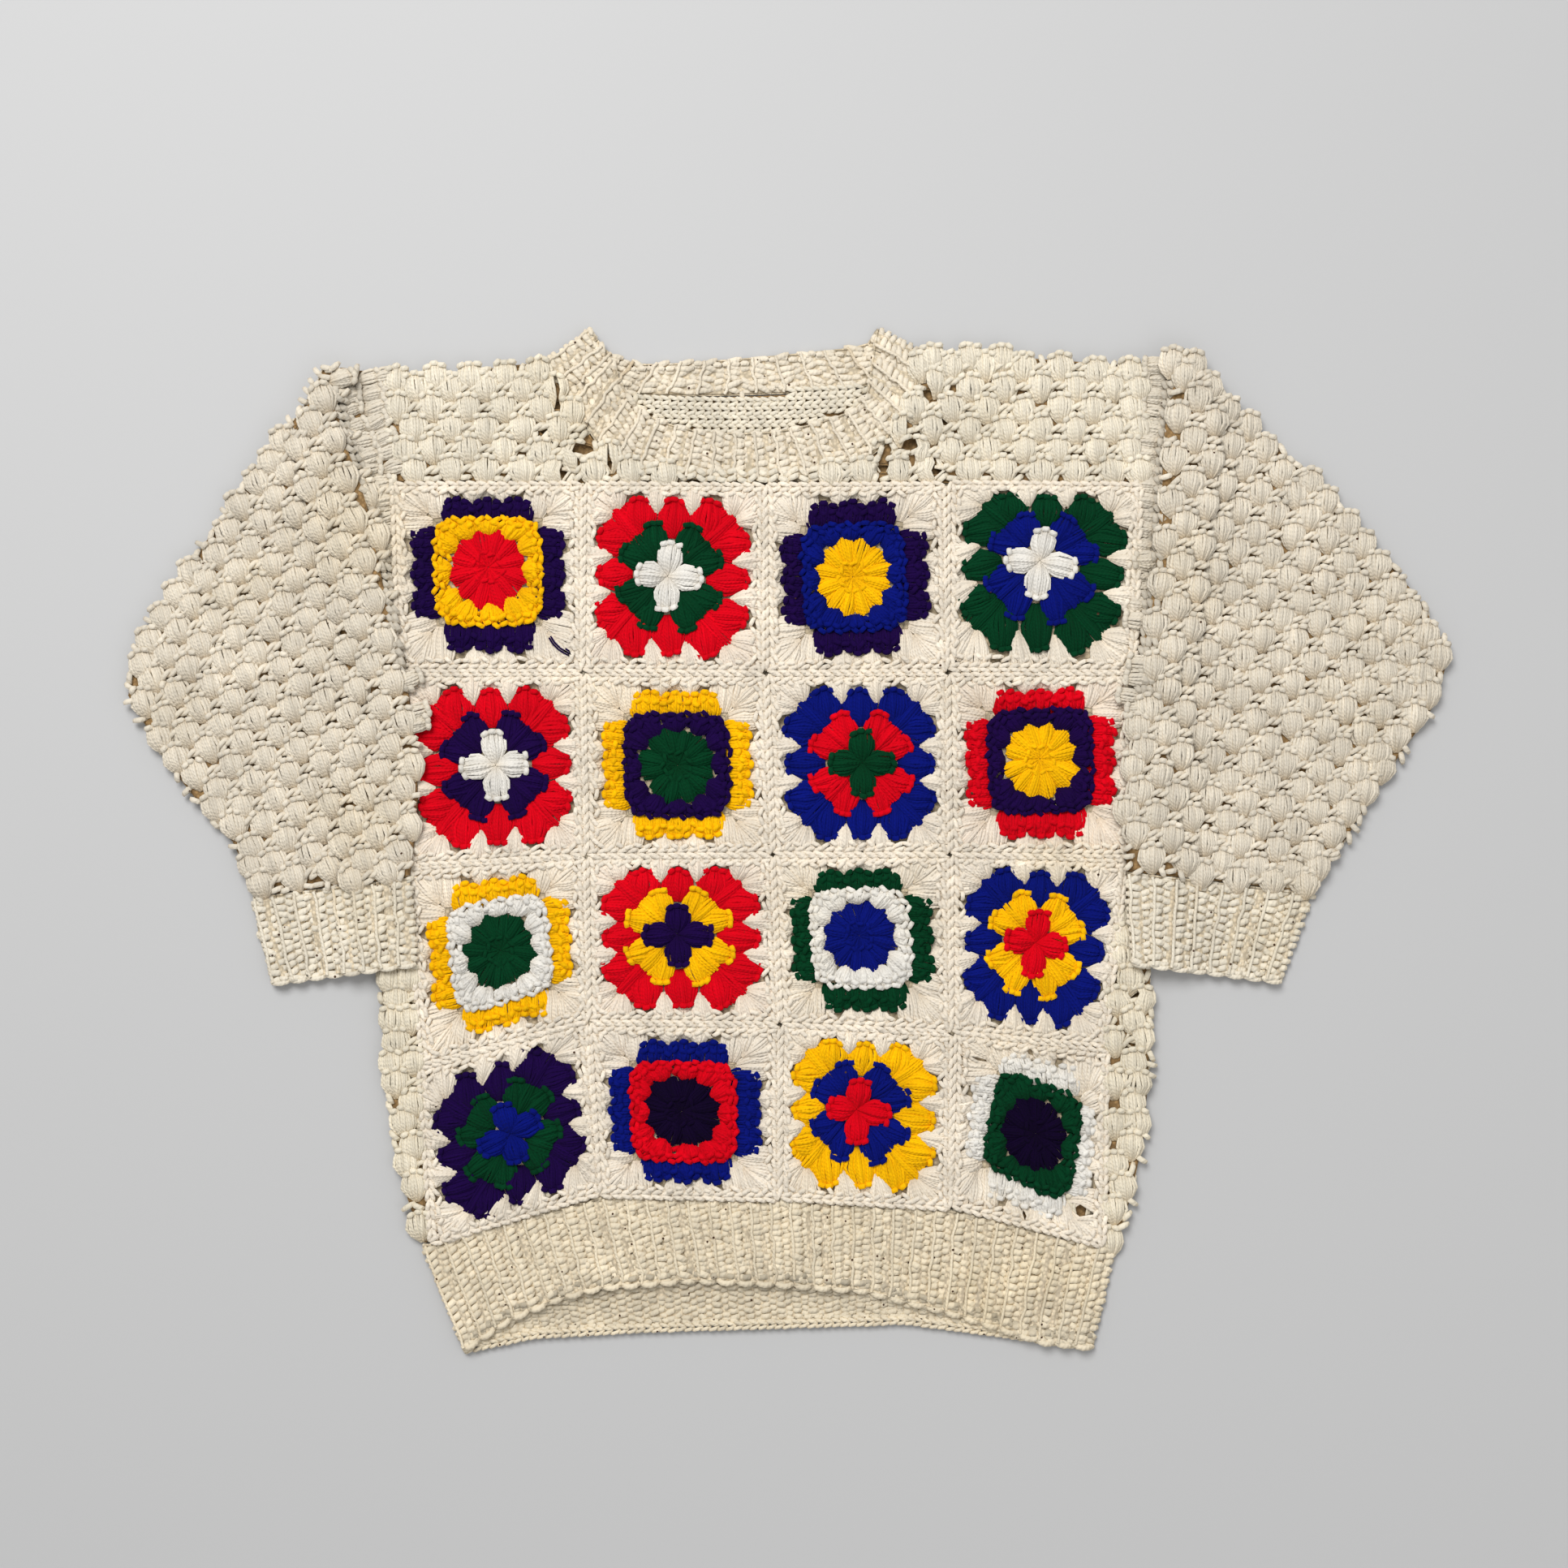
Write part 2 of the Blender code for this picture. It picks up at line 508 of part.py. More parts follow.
def back_panel(parent):
    """Back, with the sides wrapped round to meet the squares on the front."""
    reach = FOLD_RADIUS + WALL / 2
    middle = (FRONT_LAYER + FLOOR_LAYER) / 2
    left_turn = half_turn(0.0, middle, FOLD_RADIUS, 90, 270)
    right_turn = half_turn(0.0, middle, FOLD_RADIUS, -90, 90)
    (left_arm, left_neck), (right_arm, right_neck) = SHOULDERS["left"], SHOULDERS["right"]
    neck = [left_neck, *(row[2:] for row in band_curve(BAND_BACK, BAND_BACK_STEPS)), right_neck]
    top_edge = [left_arm, *((x, y - CURVE_GAP) for x, y in neck), right_arm]
    spread = [*np.linspace(left_arm[0], left_neck[0], 5)[:-1], *(x for x, _ in neck),
              *np.linspace(right_neck[0], right_arm[0], 6)[1:]]
    parts = [(x - left_arm[0]) / (right_arm[0] - left_arm[0]) for x in spread]
    runs = len(parts) - 1

    def wrapped(y, foot=False):
        """Section from the left strip, under the body, to the right strip."""
        left = across(BODY_SIDES["left"], y) + reach
        right = across(BODY_SIDES["right"], y) - reach
        section = [(front_edge("left", y) - SEAM_GAP, FRONT_LAYER), (left, FRONT_LAYER)]
        section += [(left + d, z) for d, z in left_turn]
        section += [(left + part * (right - left), FLOOR_LAYER) for part in parts[1:-1]]
        section += [(right, FLOOR_LAYER)]
        section += [(right + d, z) for d, z in right_turn]
        section += [(front_edge("right", y) + SEAM_GAP, FRONT_LAYER)]
        heights = [along(BACK_FOOT, x) + SEAM_GAP if foot and z < middle else y for x, z in section]
        return [(x, height, z) for (x, z), height in zip(section, heights)]

    bends = {SIDE_TOP}
    for side, column in (("left", 0), ("right", -1)):
        bends.update(y for _, y in BODY_SIDES[side][1:-1])
        bends.update(ys[column] for _, ys in SEAM_LINES[2:-1])
    lower = [wrapped(y) for y in sorted(bends, reverse=True)]
    lower.append(wrapped(-256.4, foot=True))
    first = 1 + len(left_turn)
    upper = []
    for share in (1.0, 0.9, 0.78, 0.6, 0.3, 0.0):
        row = []
        ends = [front_edge(side, ARMHOLE_FOOT + share * (SHOULDERS[side][0][1] - ARMHOLE_FOOT))
                for side in SIDES]
        for part, top_x in zip(parts, spread):
            y = ARMHOLE_FOOT + share * (along(top_edge, top_x) - ARMHOLE_FOOT)
            row.append((ends[0] + part * (ends[1] - ends[0]), y, FLOOR_LAYER))
        before = [(row[0][0] + k - first, *row[0][1:]) for k in range(first)]
        row = before + row + [(row[-1][0] + k + 1, *row[-1][1:]) for k in range(first)]
        upper.append(row)
    grid = np.array(upper + lower)
    armhole_rows = len(upper)

    def keep(i, j):
        return i >= armhole_rows or first <= j < first + runs

    return cloth_wall("back", grid, CREAM, parent, keep=keep)


def top_height(distance, knee, run, edge_height):
    """Height of a sleeve's top layer, which slopes down over run from the knee."""
    share = min(max((knee - distance) / run, 0.0), 1.0)
    share = share * share * (3 - 2 * share)
    return TOP_LAYER + share * (edge_height - TOP_LAYER)


def sleeve_section(side, station, rib_columns=0):
    """Middle line of one section of a sleeve, from the front seam round to the back one."""
    fold_x, fold_y, edge_x, edge_y, tuck, edge_height, kind = station
    fold = np.array([fold_x, fold_y])
    edge = np.array([edge_x, edge_y])
    width = float(np.linalg.norm(fold - edge))
    towards = (fold - edge) / width

    def crossing(x_at):
        """Distance from the outer edge to a line given as x for each y."""
        y = fold_y
        for _ in range(6):
            d = (x_at(y) - edge_x) / towards[0]
            y = edge_y + d * towards[1]
        return d

    seam_at = crossing(lambda y: front_edge(side, y)) - SEAM_GAP
    side_at = crossing(lambda y: across(BODY_SIDES[side], y))
    radius = (TUCK_LAYER - FRONT_LAYER) / 2
    if kind == "pleat":
        turn_at = width - tuck
        path = [(d, FRONT_LAYER) for d in np.linspace(seam_at, turn_at + radius, 3)]
        path += half_turn(turn_at + radius, (TUCK_LAYER + FRONT_LAYER) / 2, radius, 270, 90)
        end_at = seam_at
    elif kind == "underarm":
        path = [(seam_at + SEAM_GAP + d, z) for d, z in UNDERARM_RISE]
        turn_at = seam_at + UNDERARM_RISE[3][0]
        end_at = side_at + SIDE_RISE[0][0]
    else:
        path = [(side_at + d, z) for d, z in SIDE_RISE]
        turn_at = side_at + SIDE_RISE[2][0]
        end_at = side_at + SIDE_RISE[0][0]
    fold_radius = (TOP_LAYER - TUCK_LAYER) / 2
    fold_at = width - WALL / 2 - fold_radius
    path += [(d, TUCK_LAYER) for d in np.linspace(path[-1][0], fold_at, 4)[1:]]
    path += half_turn(fold_at, (TOP_LAYER + TUCK_LAYER) / 2, fold_radius, -90, 90)
    edge_radius = (edge_height - FLOOR_LAYER) / 2
    edge_at = WALL / 2 + edge_radius
    knee = max(turn_at - KNEE_MARGIN, edge_at + 1.0)
    run = min(KNEE_RUN, KNEE_SHARE * (knee - edge_at))
    if rib_columns:
        tops = np.linspace(fold_at, edge_at, rib_columns + 1)[1:]
    else:
        slope = [knee - run * share for share in (0.25, 0.5, 0.75, 1.0)]
        flat = np.linspace(slope[-1], edge_at, 5)[1:]
        tops = [(fold_at + knee) / 2, knee, *slope, *flat]
    path += [(d, top_height(d, knee, run, edge_height)) for d in tops]
    path += half_turn(edge_at, (edge_height + FLOOR_LAYER) / 2, edge_radius, 90, 270)
    path += [(d, FLOOR_LAYER) for d in np.linspace(edge_at, end_at, 5)[1:]]
    return [(*(edge + towards * d), z) for d, z in path]


def sleeve(side, parent):
    """Sleeve: open along the armhole, closed below it."""
    stations = SLEEVES[side]
    grid = np.array([sleeve_section(side, station) for station in stations])
    joined_from = next(k for k, station in enumerate(stations) if station[-1] == "tube")
    grid[joined_from:, -1] = grid[joined_from:, 0]
    return cloth_wall(f"sleeve_{side}", grid, CREAM, parent, outward=-SIDES[side],
                      joined_from=joined_from)


def cuff(side, parent):
    """Ribbed band at the end of a sleeve."""
    columns = CUFF_RIBS * RIB_STEPS
    grid = np.array([sleeve_section(side, station, columns) for station in CUFFS[side]])
    grid[:, -1] = grid[:, 0]
    relief = np.zeros(grid.shape[:2])
    first = len(SIDE_RISE) + 3 + TURN_STEPS - 1
    for column in range(columns + 1):
        if column % RIB_STEPS in (1, 2):
            relief[:, first + column] = RIB_RELIEF
    return cloth_wall(f"cuff_{side}", grid, CREAM, parent, outward=-SIDES[side], joined_from=0,
                      relief=relief)


def cut_gaps(solid, gaps, parent):
    """Cut the open gaps through the front layer of a piece."""
    low = (FRONT_LAYER - WALL / 2 - SEAM_GAP / 2) * MM
    high = (TUCK_LAYER - WALL / 2) * MM
    shape = bmesh.new()
    for x, y, width, height in gaps:
        ring = [(x + width / 2 * math.cos(a), y + height / 2 * math.sin(a))
                for a in np.linspace(0, 2 * math.pi, GAP_SIDES, endpoint=False)]
        lower = [shape.verts.new((px * MM, py * MM, low)) for px, py in ring]
        upper = [shape.verts.new((px * MM, py * MM, high)) for px, py in ring]
        shape.faces.new(lower[::-1])
        shape.faces.new(upper)
        for k in range(GAP_SIDES):
            beside = (k + 1) % GAP_SIDES
            shape.faces.new((lower[k], lower[beside], upper[beside], upper[k]))
    mesh = bpy.data.meshes.new(f"{solid.name}_gaps")
    shape.to_mesh(mesh)
    shape.free()
    cutter = bpy.data.objects.new(f"{solid.name}_gaps", mesh)
    cutter.parent = parent
    cutter.hide_render = True
    cutter.display_type = "WIRE"
    bpy.context.collection.objects.link(cutter)
    cut = solid.modifiers.new("gaps", "BOOLEAN")
    cut.operation = "DIFFERENCE"
    cut.object = cutter


def centre_on_floor(garment, solids):
    """Move the whole garment so that its box is centred on the origin."""
    points = np.array([vertex.co for solid in solids for vertex in solid.data.vertices])
    middle = (points.min(axis=0) + points.max(axis=0)) / 2
    garment.location = (-middle[0], -middle[1], -points[:, 2].min())


def main():
    for existing in list(bpy.data.objects):
        bpy.data.objects.remove(existing, do_unlink=True)
    garment = bpy.data.objects.new("garment", None)
    bpy.context.collection.objects.link(garment)
    solids = {"back": back_panel(garment)}
    solids.update(front_squares(garment))
    for side in SIDES:
        solids[f"yoke_{side}"] = yoke(side, garment)
        solids[f"sleeve_{side}"] = sleeve(side, garment)
        solids[f"cuff_{side}"] = cuff(side, garment)
    solids["neckband"] = neckband(garment)
    solids["hem_rib"] = hem_band(garment)
    for name, gaps in OPEN_GAPS.items():
        cut_gaps(solids[name], gaps, garment)
    centre_on_floor(garment, solids.values())


main()
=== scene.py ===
"""Looks of the granny square sweater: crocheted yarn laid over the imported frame.

Each piece of the frame becomes a thin shell of inner cloth with its stitches on top. A
stitch is a bundle of strands, and each strand is a thin tube whose plies come from its
material. Sizes are in millimetres, x to the right, y up the garment, z up.
"""
import math

import bpy
import numpy as np
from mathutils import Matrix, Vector
from mathutils.bvhtree import BVHTree


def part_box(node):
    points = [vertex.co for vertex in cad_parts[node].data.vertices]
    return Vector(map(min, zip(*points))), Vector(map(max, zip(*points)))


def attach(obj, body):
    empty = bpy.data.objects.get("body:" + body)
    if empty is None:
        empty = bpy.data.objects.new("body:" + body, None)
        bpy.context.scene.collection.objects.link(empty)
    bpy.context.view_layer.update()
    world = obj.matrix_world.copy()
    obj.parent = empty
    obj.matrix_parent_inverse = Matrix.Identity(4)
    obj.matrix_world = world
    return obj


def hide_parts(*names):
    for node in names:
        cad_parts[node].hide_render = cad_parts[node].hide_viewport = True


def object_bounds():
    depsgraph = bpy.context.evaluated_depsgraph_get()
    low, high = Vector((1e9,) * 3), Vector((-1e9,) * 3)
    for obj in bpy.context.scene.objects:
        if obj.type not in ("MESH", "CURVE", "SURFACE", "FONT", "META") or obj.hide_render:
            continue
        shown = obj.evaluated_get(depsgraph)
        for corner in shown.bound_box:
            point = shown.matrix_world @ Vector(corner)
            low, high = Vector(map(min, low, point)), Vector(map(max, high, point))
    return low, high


MM = 0.001
rng = np.random.default_rng(16)

# Colours of the yarn, sRGB
COLOURS = {
    "cream": (226, 216, 196),
    "white": (220, 216, 208),
    "red": (208, 0, 22),
    "green": (0, 54, 28),
    "blue": (4, 17, 108),
    "purple": (25, 2, 60),
    "plum": (12, 0, 32),
    "yellow": (240, 180, 2),
}
STAIN_TINT = (0.98, 0.94, 0.84)       # linear, as the next one
SPECK_COLOUR = (0.07, 0.035, 0.02)
CREVICE = 6.0          # depth below a strand's top where its painted shade and dirt are darkest
CREVICE_SHADE_AND_DIRT = np.array([0.20, 0.32, 0.48])   # and how much of each channel is gone there, as painted shade of the crevice with some dirt
# Looks of each slot: name and colour of the cloth seen in the gaps, a cream darkened as painted shade
# of the garment's inside, and share of cells with a speck
SLOT_LOOKS = {
    "cream_clusters": ("inner_cloth", (164, 132, 90), 0.006),
    "cream_ribs": ("inner_ribs", (226, 210, 182), 0.1),
    "square_yarns": ("inner_squares", (206, 188, 158), 0.003),
}
GAP_BUMPS = (400.0, 0.0006)        # of that cloth: how many in a metre, and their height
UNDERSIDE_BUMPS = (170.0, 0.003)
# Each kind of piece: slot, flat width, length and area in metres, and how it is held
PIECES = {
    "back": ("cream_clusters", 0.530, 0.560, 0.276, "folded"),
    "yoke": ("cream_clusters", 0.140, 0.100, 0.0110, "laid"),
    "sleeve": ("cream_clusters", 0.380, 0.350, 0.096, "folded"),
    "cuff": ("cream_ribs", 0.220, 0.062, 0.0133, "folded"),
    "neckband": ("cream_ribs", 0.540, 0.032, 0.0155, "folded"),
    "hem": ("cream_ribs", 0.870, 0.066, 0.0500, "folded"),
    "square": ("square_yarns", 0.118, 0.122, 0.0134, "laid"),
}

# Camera over the garment: place, height and width of what it sees
CAMERA_PLACE = (-3.1, 33.8)
CAMERA_HEIGHT = 1500.0
CAMERA_SPAN = 1000.0
SENSOR = 36.0
# Lights: name, place and size in metres, and watts
LIGHTS = (
    ("key", (-0.75, 1.72, 2.78), 1.65, 98.0),
    ("fill", (0.8, -0.6, 1.8), 2.0, 7.0),
)
WORLD_LIGHT = 0.46
FLOOR_GREY = 0.47
FLOOR_REACH = 3.0      # metres from the middle of the floor to its edges

# How much darker and yellower than the front the other pieces are: partly the yarn's own colour, partly
# painted shade where less light falls on them
TONES_AND_SHADE = {
    "sleeve": (0.89, 0.89, 0.91),
    "back": (0.95, 0.95, 0.93),
    "yoke": (0.96, 0.97, 0.98),
    "square": (1.02, 1.01, 1.04),
    "cuff": (0.96, 0.97, 0.99),
    "neckband": (0.98, 0.97, 0.97),
    "hem": (0.97, 0.94, 0.88),
}

# Seams across the front, from the yokes to the hem: x and y of the five corners on each
SEAM_LINES = (
    ((-252.6, -130.4, -15.0, 99.9, 224.0), (224.8,) * 5),
    ((-248.4, -130.4, -14.5, 100.9, 221.5), (104.1,) * 5),
    ((-242.8, -128.4, -10.0, 102.0, 215.0), (-18.5, -12.4, -11.3, -11.3, -13.9)),
    ((-234.0, -126.8, -5.2, 103.5, 201.4), (-144.8, -117.4, -118.9, -124.6, -132.9)),
    ((-229.6, -120.1, -5.2, 103.5, 201.4), (-257.9, -228.1, -230.7, -236.4, -259.7)),
)
# Each square: middle of its motif, how far it is turned in degrees, kind, and the colours of
# its three rounds
SQUARES = (
    (((-191.0, 171.5), 0, "disc", "red", "yellow", "purple"),
     ((-77.1, 165.8), -5, "petals", "white", "green", "red"),
     ((40.4, 165.3), 4, "disc", "yellow", "blue", "purple"),
     ((159.4, 175.6), -8, "petals", "white", "blue", "green")),
    (((-186.3, 45.7), 3, "petals", "white", "purple", "red"),
     ((-70.9, 45.7), 0, "disc", "green", "purple", "yellow"),
     ((46.6, 47.2), 0, "petals", "green", "red", "blue"),
     ((159.4, 49.8), 4, "disc", "yellow", "purple", "red")),
    (((-183.2, -71.8), 6, "disc", "green", "white", "yellow"),
     ((-70.9, -61.5), 0, "petals", "purple", "yellow", "red"),
     ((44.5, -62.5), 3, "disc", "blue", "white", "green"),
     ((156.8, -66.6), -5, "petals", "red", "yellow", "blue")),
    (((-177.0, -188.3), 16, "petals", "blue", "green", "purple"),
     ((-68.3, -174.3), 0, "disc", "plum", "red", "blue"),
     ((43.0, -172.7), -4, "petals", "red", "blue", "yellow"),
     ((156.8, -188.3), -15, "disc", "plum", "green", "white")),
)
# A square with a loose end of its outer round's yarn, and the places that the end passes
LOOSE_END = ("square_11", ((-151.5, 127.0), (-149.0, 123.0), (-145.5, 119.5), (-141.5, 117.0),
                           (-138.5, 115.5), (-140.0, 117.8), (-142.0, 119.0)))
HALF_SQUARE = 59.0     # middle of a motif to its seam, where a square has its usual size
FRONT_GROUND = 4.9     # height at which the stitches of the front start

# How clusters differ from a usual one between petals, between bars, beside a corner and in bars
SPEAR = {"knob": False, "raised": 1.0, "neck": 0.08, "full": 1.0, "bulge": 0.15, "close": 0}
SPIKE = {"knob": False, "neck": 0.1, "bulge": 0.2, "full": 1.0, "close": 0}
WEDGE = {"knob": False, "raised": 0.6, "full": 0.9, "bulge": 0.6}
BAR = {"neck": 0.85, "full": 0.4, "close": 0.18, "crown": 0.55}
BAR_END = {"knob": False, "neck": 0.5, "close": 0.2, "lift": 3.2}
BAR_CORNER = {"knob": False, "close": 0.2, "raised": 0.3}
# Clusters in a quarter of a square, in working order: start, end, width, round and differences
PETAL_FANS = (
    ((21.0, 21.0), (39.5, 39.5), 26.0, "third", {"knob": False, "neck": 0.6, "lift": 3.0}),
    ((0.0, 24.0), (0.0, 48.0), 21.5, "third", {"close": 0.4}),
    ((21.0, 26.0), (22.5, 48.5), 22.5, "third", {"neck": 0.4, "close": 0.4}),
    ((26.0, 21.0), (48.5, 22.5), 22.5, "third", {"neck": 0.4, "close": 0.4}),
    ((0.0, 47.0), (0.0, 56.5), 20.0, "edge", {"knob": False, "lift": 1.2}),
    ((-11.5, 39.0), (-12.0, 57.0), 19.0, "edge", SPEAR),
    ((-36.5, 40.0), (-41.0, 56.5), 20.0, "edge", WEDGE),
    ((11.5, 39.0), (12.0, 57.0), 19.0, "edge", SPEAR),
    ((36.5, 40.0), (41.0, 56.5), 20.0, "edge", WEDGE),
    ((40.0, 40.0), (53.5, 53.5), 19.0, "edge", {"knob": False, "raised": 0.3, "bulge": 0.7}),
    ((8.5, 8.5), (23.5, 23.5), 21.0, "second", {"knob": False, "neck": 0.4}),
    ((7.5, 11.0), (13.0, 32.5), 16.5, "second", {"neck": 0.35, "close": 0.35}),
    ((11.0, 7.5), (32.5, 13.0), 16.5, "second", {"neck": 0.35, "close": 0.35}),
    ((0.0, 0.5), (0.0, 21.0), 16.5, "first", {"neck": 0.1, "lift": 4.2, "raised": 0.5}),
)
DISC_BARS = [((x * 0.95, 30.5), (x, 46.8), 21.5, "third", BAR) for x in (-19.0, 0.0, 19.0)]
DISC_EDGE_FANS = (
    ((-9.5, 44.0), (-9.5, 57.0), 19.0, "edge", SPIKE),
    ((9.5, 44.0), (9.5, 57.0), 19.0, "edge", SPIKE),
    ((0.0, 48.0), (0.0, 56.5), 18.0, "edge", {"knob": False, "lift": 1.2}),
    ((-29.5, 34.0), (-31.0, 55.5), 17.0, "edge", BAR_END),
    ((-37.5, 38.0), (-43.0, 56.0), 16.0, "edge", BAR_CORNER),
    ((29.5, 34.0), (31.0, 55.5), 17.0, "edge", BAR_END),
    ((37.5, 38.0), (43.0, 56.0), 16.0, "edge", BAR_CORNER),
    ((37.0, 37.0), (53.5, 53.5), 18.0, "edge", {"knob": False, "raised": 0.5}),
)
DISC_POSTS = 12
# Ring of a disc square: angle of each cluster in a quarter, where its foot is, how far it is raised
RING_CLUSTERS = ((-30, 22.0, 0.7), (0, 22.0, 0.7), (30, 22.0, 0.7), (45, 26.0, 0.2))
RING_REACH = 32.0      # where those clusters end
RING_ROWS = ((32.6, 2.8), (29.2, 3.4), (25.6, 0.6))   # its rows of loops: reach, height

# Neckband, from the left shoulder to the right: inner edge x, y, outer edge x, y
BAND_FRONT = (
    (-126.8, 323.6, -155.8, 302.4),
    (-119.0, 313.3, -146.0, 287.9),
    (-111.3, 302.4, -134.6, 271.4),
    (-104.0, 284.3, -122.7, 251.7),
    (-89.0, 268.3, -102.0, 236.7),
    (-63.1, 259.5, -69.4, 228.4),
    (-34.7, 256.9, -34.7, 226.1),
    (-6.2, 258.4, -3.6, 226.1),
    (20.7, 264.6, 27.4, 232.0),
    (40.4, 271.9, 54.9, 243.9),
    (49.7, 283.3, 70.4, 263.6),
    (52.3, 300.9, 81.8, 287.4),
    (55.9, 324.2, 85.4, 309.1),
)
BAND_BACK = (
    (-113.9, 308.1, -134.6, 289.5),
    (-94.2, 301.4, -102.0, 281.7),
    (-34.7, 304.5, -34.7, 281.2),
    (30.0, 310.7, 39.3, 285.3),
    (49.7, 314.3, 68.8, 294.6),
)

# Edges of the hem, from left to right: its top, and the lower ones of its front and back
HEM_TOP_EDGE = ((-233.6, -259.0), *list(zip(*SEAM_LINES[4]))[1:4], (207.8, -260.7))
HEM_FRONT_EDGE = ((-206.5, -326.0), (-177.5, -306.8), (-146.0, -293.3), (-120.1, -286.5),
                  (-62.6, -281.9), (-11.4, -284.0), (46.1, -288.2), (103.5, -302.7),
                  (161.0, -320.9), (192.5, -324.4))
HEM_BACK_EDGE = ((-206.5, -326.0), (-163.0, -316.6), (-91.1, -312.5), (14.5, -309.4),
                 (74.5, -307.4), (132.0, -315.1), (192.5, -324.4))
HEM_OVERLAP = 8.0      # how far the back's ribs go up under the front's lower edge
# Edges of each cuff, at the hand and at the sleeve
CUFF_EDGES = {
    "cuff_left": (((-328.2, -93.5), (-235.5, -80.5)), ((-341.5, -38.2), (-238.9, -25.3))),
    "cuff_right": (((216.4, -79.9), (313.1, -92.4)), ((212.8, -21.7), (333.7, -35.7))),
}

# Ribs along each band, and rows of knots across it
RIBS = {
    "hem": (34, 15),
    "hem back": (40, 9),
    "cuff": (8, 12),
    "neckband": (21, 8),
    "neckband back": (11, 6),
}

# Openings that show between the stitches: middle x, y, width and height
OPENINGS = (
    (-147.0, 274.5, 10.4, 5.2), (-154.8, 257.9, 6.2, 4.2), (-132.0, 246.5, 15.5, 6.2),
    (-113.4, 236.2, 6.2, 6.7), (-142.9, 230.9, 13.0, 4.6),
    (87.6, 281.2, 8.6, 6.2), (98.3, 263.6, 5.2, 4.4), (76.2, 249.6, 14.5, 7.4),
    (60.0, 234.3, 12.5, 4.4), (93.7, 233.1, 10.4, 5.2),
    (185.3, -236.9, 10.4, 12.6), (149.6, -240.5, 4.7, 6.2),
    (121.6, -141.1, 8.0, 5.5), (152.7, -136.0, 7.0, 3.5), (202.4, -170.7, 4.5, 4.5),
    (218.4, -100.3, 12.6, 4.4), (216.9, -130.8, 10.0, 5.0), (220.0, -156.2, 9.0, 3.0),
    (219.5, -183.6, 9.0, 3.0),
)

# Folds along the armholes: beyond them, towards the squares, the stitches lie sideways
ARMHOLES = {
    "sleeve_left": ((-290.9, 285.4), (-285.2, 268.3), (-276.4, 240.8), (-265.0, 208.2),
                    (-257.7, 172.0), (-251.0, 130.0), (-246.0, 90.0)),
    "sleeve_right": ((241.0, 290.0), (240.0, 265.0), (236.5, 240.0), (235.5, 203.0),
                     (232.5, 156.0), (229.0, 110.0), (224.0, 70.0)),
}

# Rows of clusters on each node: a place on the first row, angle, rows, and where they stop in y
ROWS = {
    "sleeve_left": ((-290.0, -22.0), math.radians(14), 29, math.inf),
    "sleeve_right": ((274.0, -18.0), math.radians(-6), 29, math.inf),
    "yoke_left": ((-192.0, 231.0), 0.0, 7, math.inf),
    "yoke_right": ((160.0, 231.0), 0.0, 7, math.inf),
    "back": ((-10.0, -250.0), 0.0, 42, 230.0),
}
CLUSTER_PITCH = 22.8   # from one cluster of a row to the next
ROW_PITCH = 13.2
ROW_SPAN = 24          # most clusters that a row has on each side of its start
# Sideways clusters beyond an armhole's fold: lowest y, highest y and pitch, and how far out they lie
SIDEWAYS_ROWS = (70.0, 300.0, 9.5)
SIDEWAYS_REACHES = (7.0, 21.0, 35.0)
# Lines of loops beside that fold: how far out, and how dark they are painted, as shade in the trough
# along the fold
FOLD_LINES = ((-0.5, 0.86), (3.0, 0.78), (6.5, 0.82))
# Rows of links inside the neck: lowest y, highest y and pitch, and the depth, middle and half width
# of their dip
NECK_ROWS = (243.0, 312.0, 5.6)
NECK_DIP = (4, -34, 90)
NECK_SPAN = (-128.0, 60.0)
# Rows of loops along the front of the neckband: distance from the lowest, height over the ground
BAND_SEAM_ROWS = ((0.0, 2.6), (4.4, 1.6))
BAND_SEAM = (227.0, -25, 0.0011)   # lowest y, where in x that is, and how fast the seam rises
BAND_SEAM_SPAN = (-104.0, 62.0)
SPAN_STEP = 6.0        # between the points of those rows

TINT = 0.035           # how much of its outer round a square's cream yarn has taken up

# Yarn
STRAND = 1.28          # radius of one of the strands in a post
STRAND_PITCH = 1.55    # beside each other, where a cluster is widest
POST_STEPS = 5         # points along a post
KNOB_RADIUS = 2.1
BAR_RADIUS = 1.9
BAR_LENGTH = 12.0
TUBE_SIDES = 4
# Radius along a strand, as a share of its own
POST_TAPER = np.array([0.62, 0.96, 1.03, 1.03, 0.8])
LOOP_TAPER = np.array([0.65, 1.05, 1.05, 0.65])
KNOT_TAPER = np.array([0.65, 1.0, 1.0, 0.65])
LINK_TAPER = np.array([0.7, 1.05, 1.1, 0.75])
BAR_TAPER = np.array([0.7, 1, 1, 1, 1, 1, 0.7])
ARCH_TAPER = np.array([0.8, 1.0, 1.05, 1.0, 0.8])
SINK = 1.1             # how far the inner cloth lies inside its node
FLOOR_GAP = 0.05       # least height of any point
PLY_TWIST = 2.6        # length of yarn in which a ply goes round once


def linear_rgb(rgb):
    """An sRGB colour with channels from 0 to 255 as a linear one."""
    value = np.array(rgb) / 255
    return np.where(value <= 0.04045, value / 12.92, ((value + 0.055) / 1.055) ** 2.4)


def colour_of(name):
    return linear_rgb(COLOURS[name])


def cream_of(node):
    """The cream of that piece, a little yellower and darker on some pieces: partly the yarn's own
    colour, partly painted shade.
    """
    return colour_of("cream") * TONES_AND_SHADE[node.split("_")[0]]


def heading(angle):
    """Direction on the floor at that angle from x."""
    return np.array([math.cos(angle), math.sin(angle)])


def perpendicular(direction):
    return np.array([direction[1], -direction[0]])


def unit(vectors):
    """Vectors with length one, along the last axis."""
    return vectors / np.maximum(np.linalg.norm(vectors, axis=-1, keepdims=True), 1e-9)


def distances(line):
    """How far along a line of plan points each of them is."""
    return np.concatenate([[0.0], np.cumsum(np.linalg.norm(np.diff(line, axis=0), axis=1))])


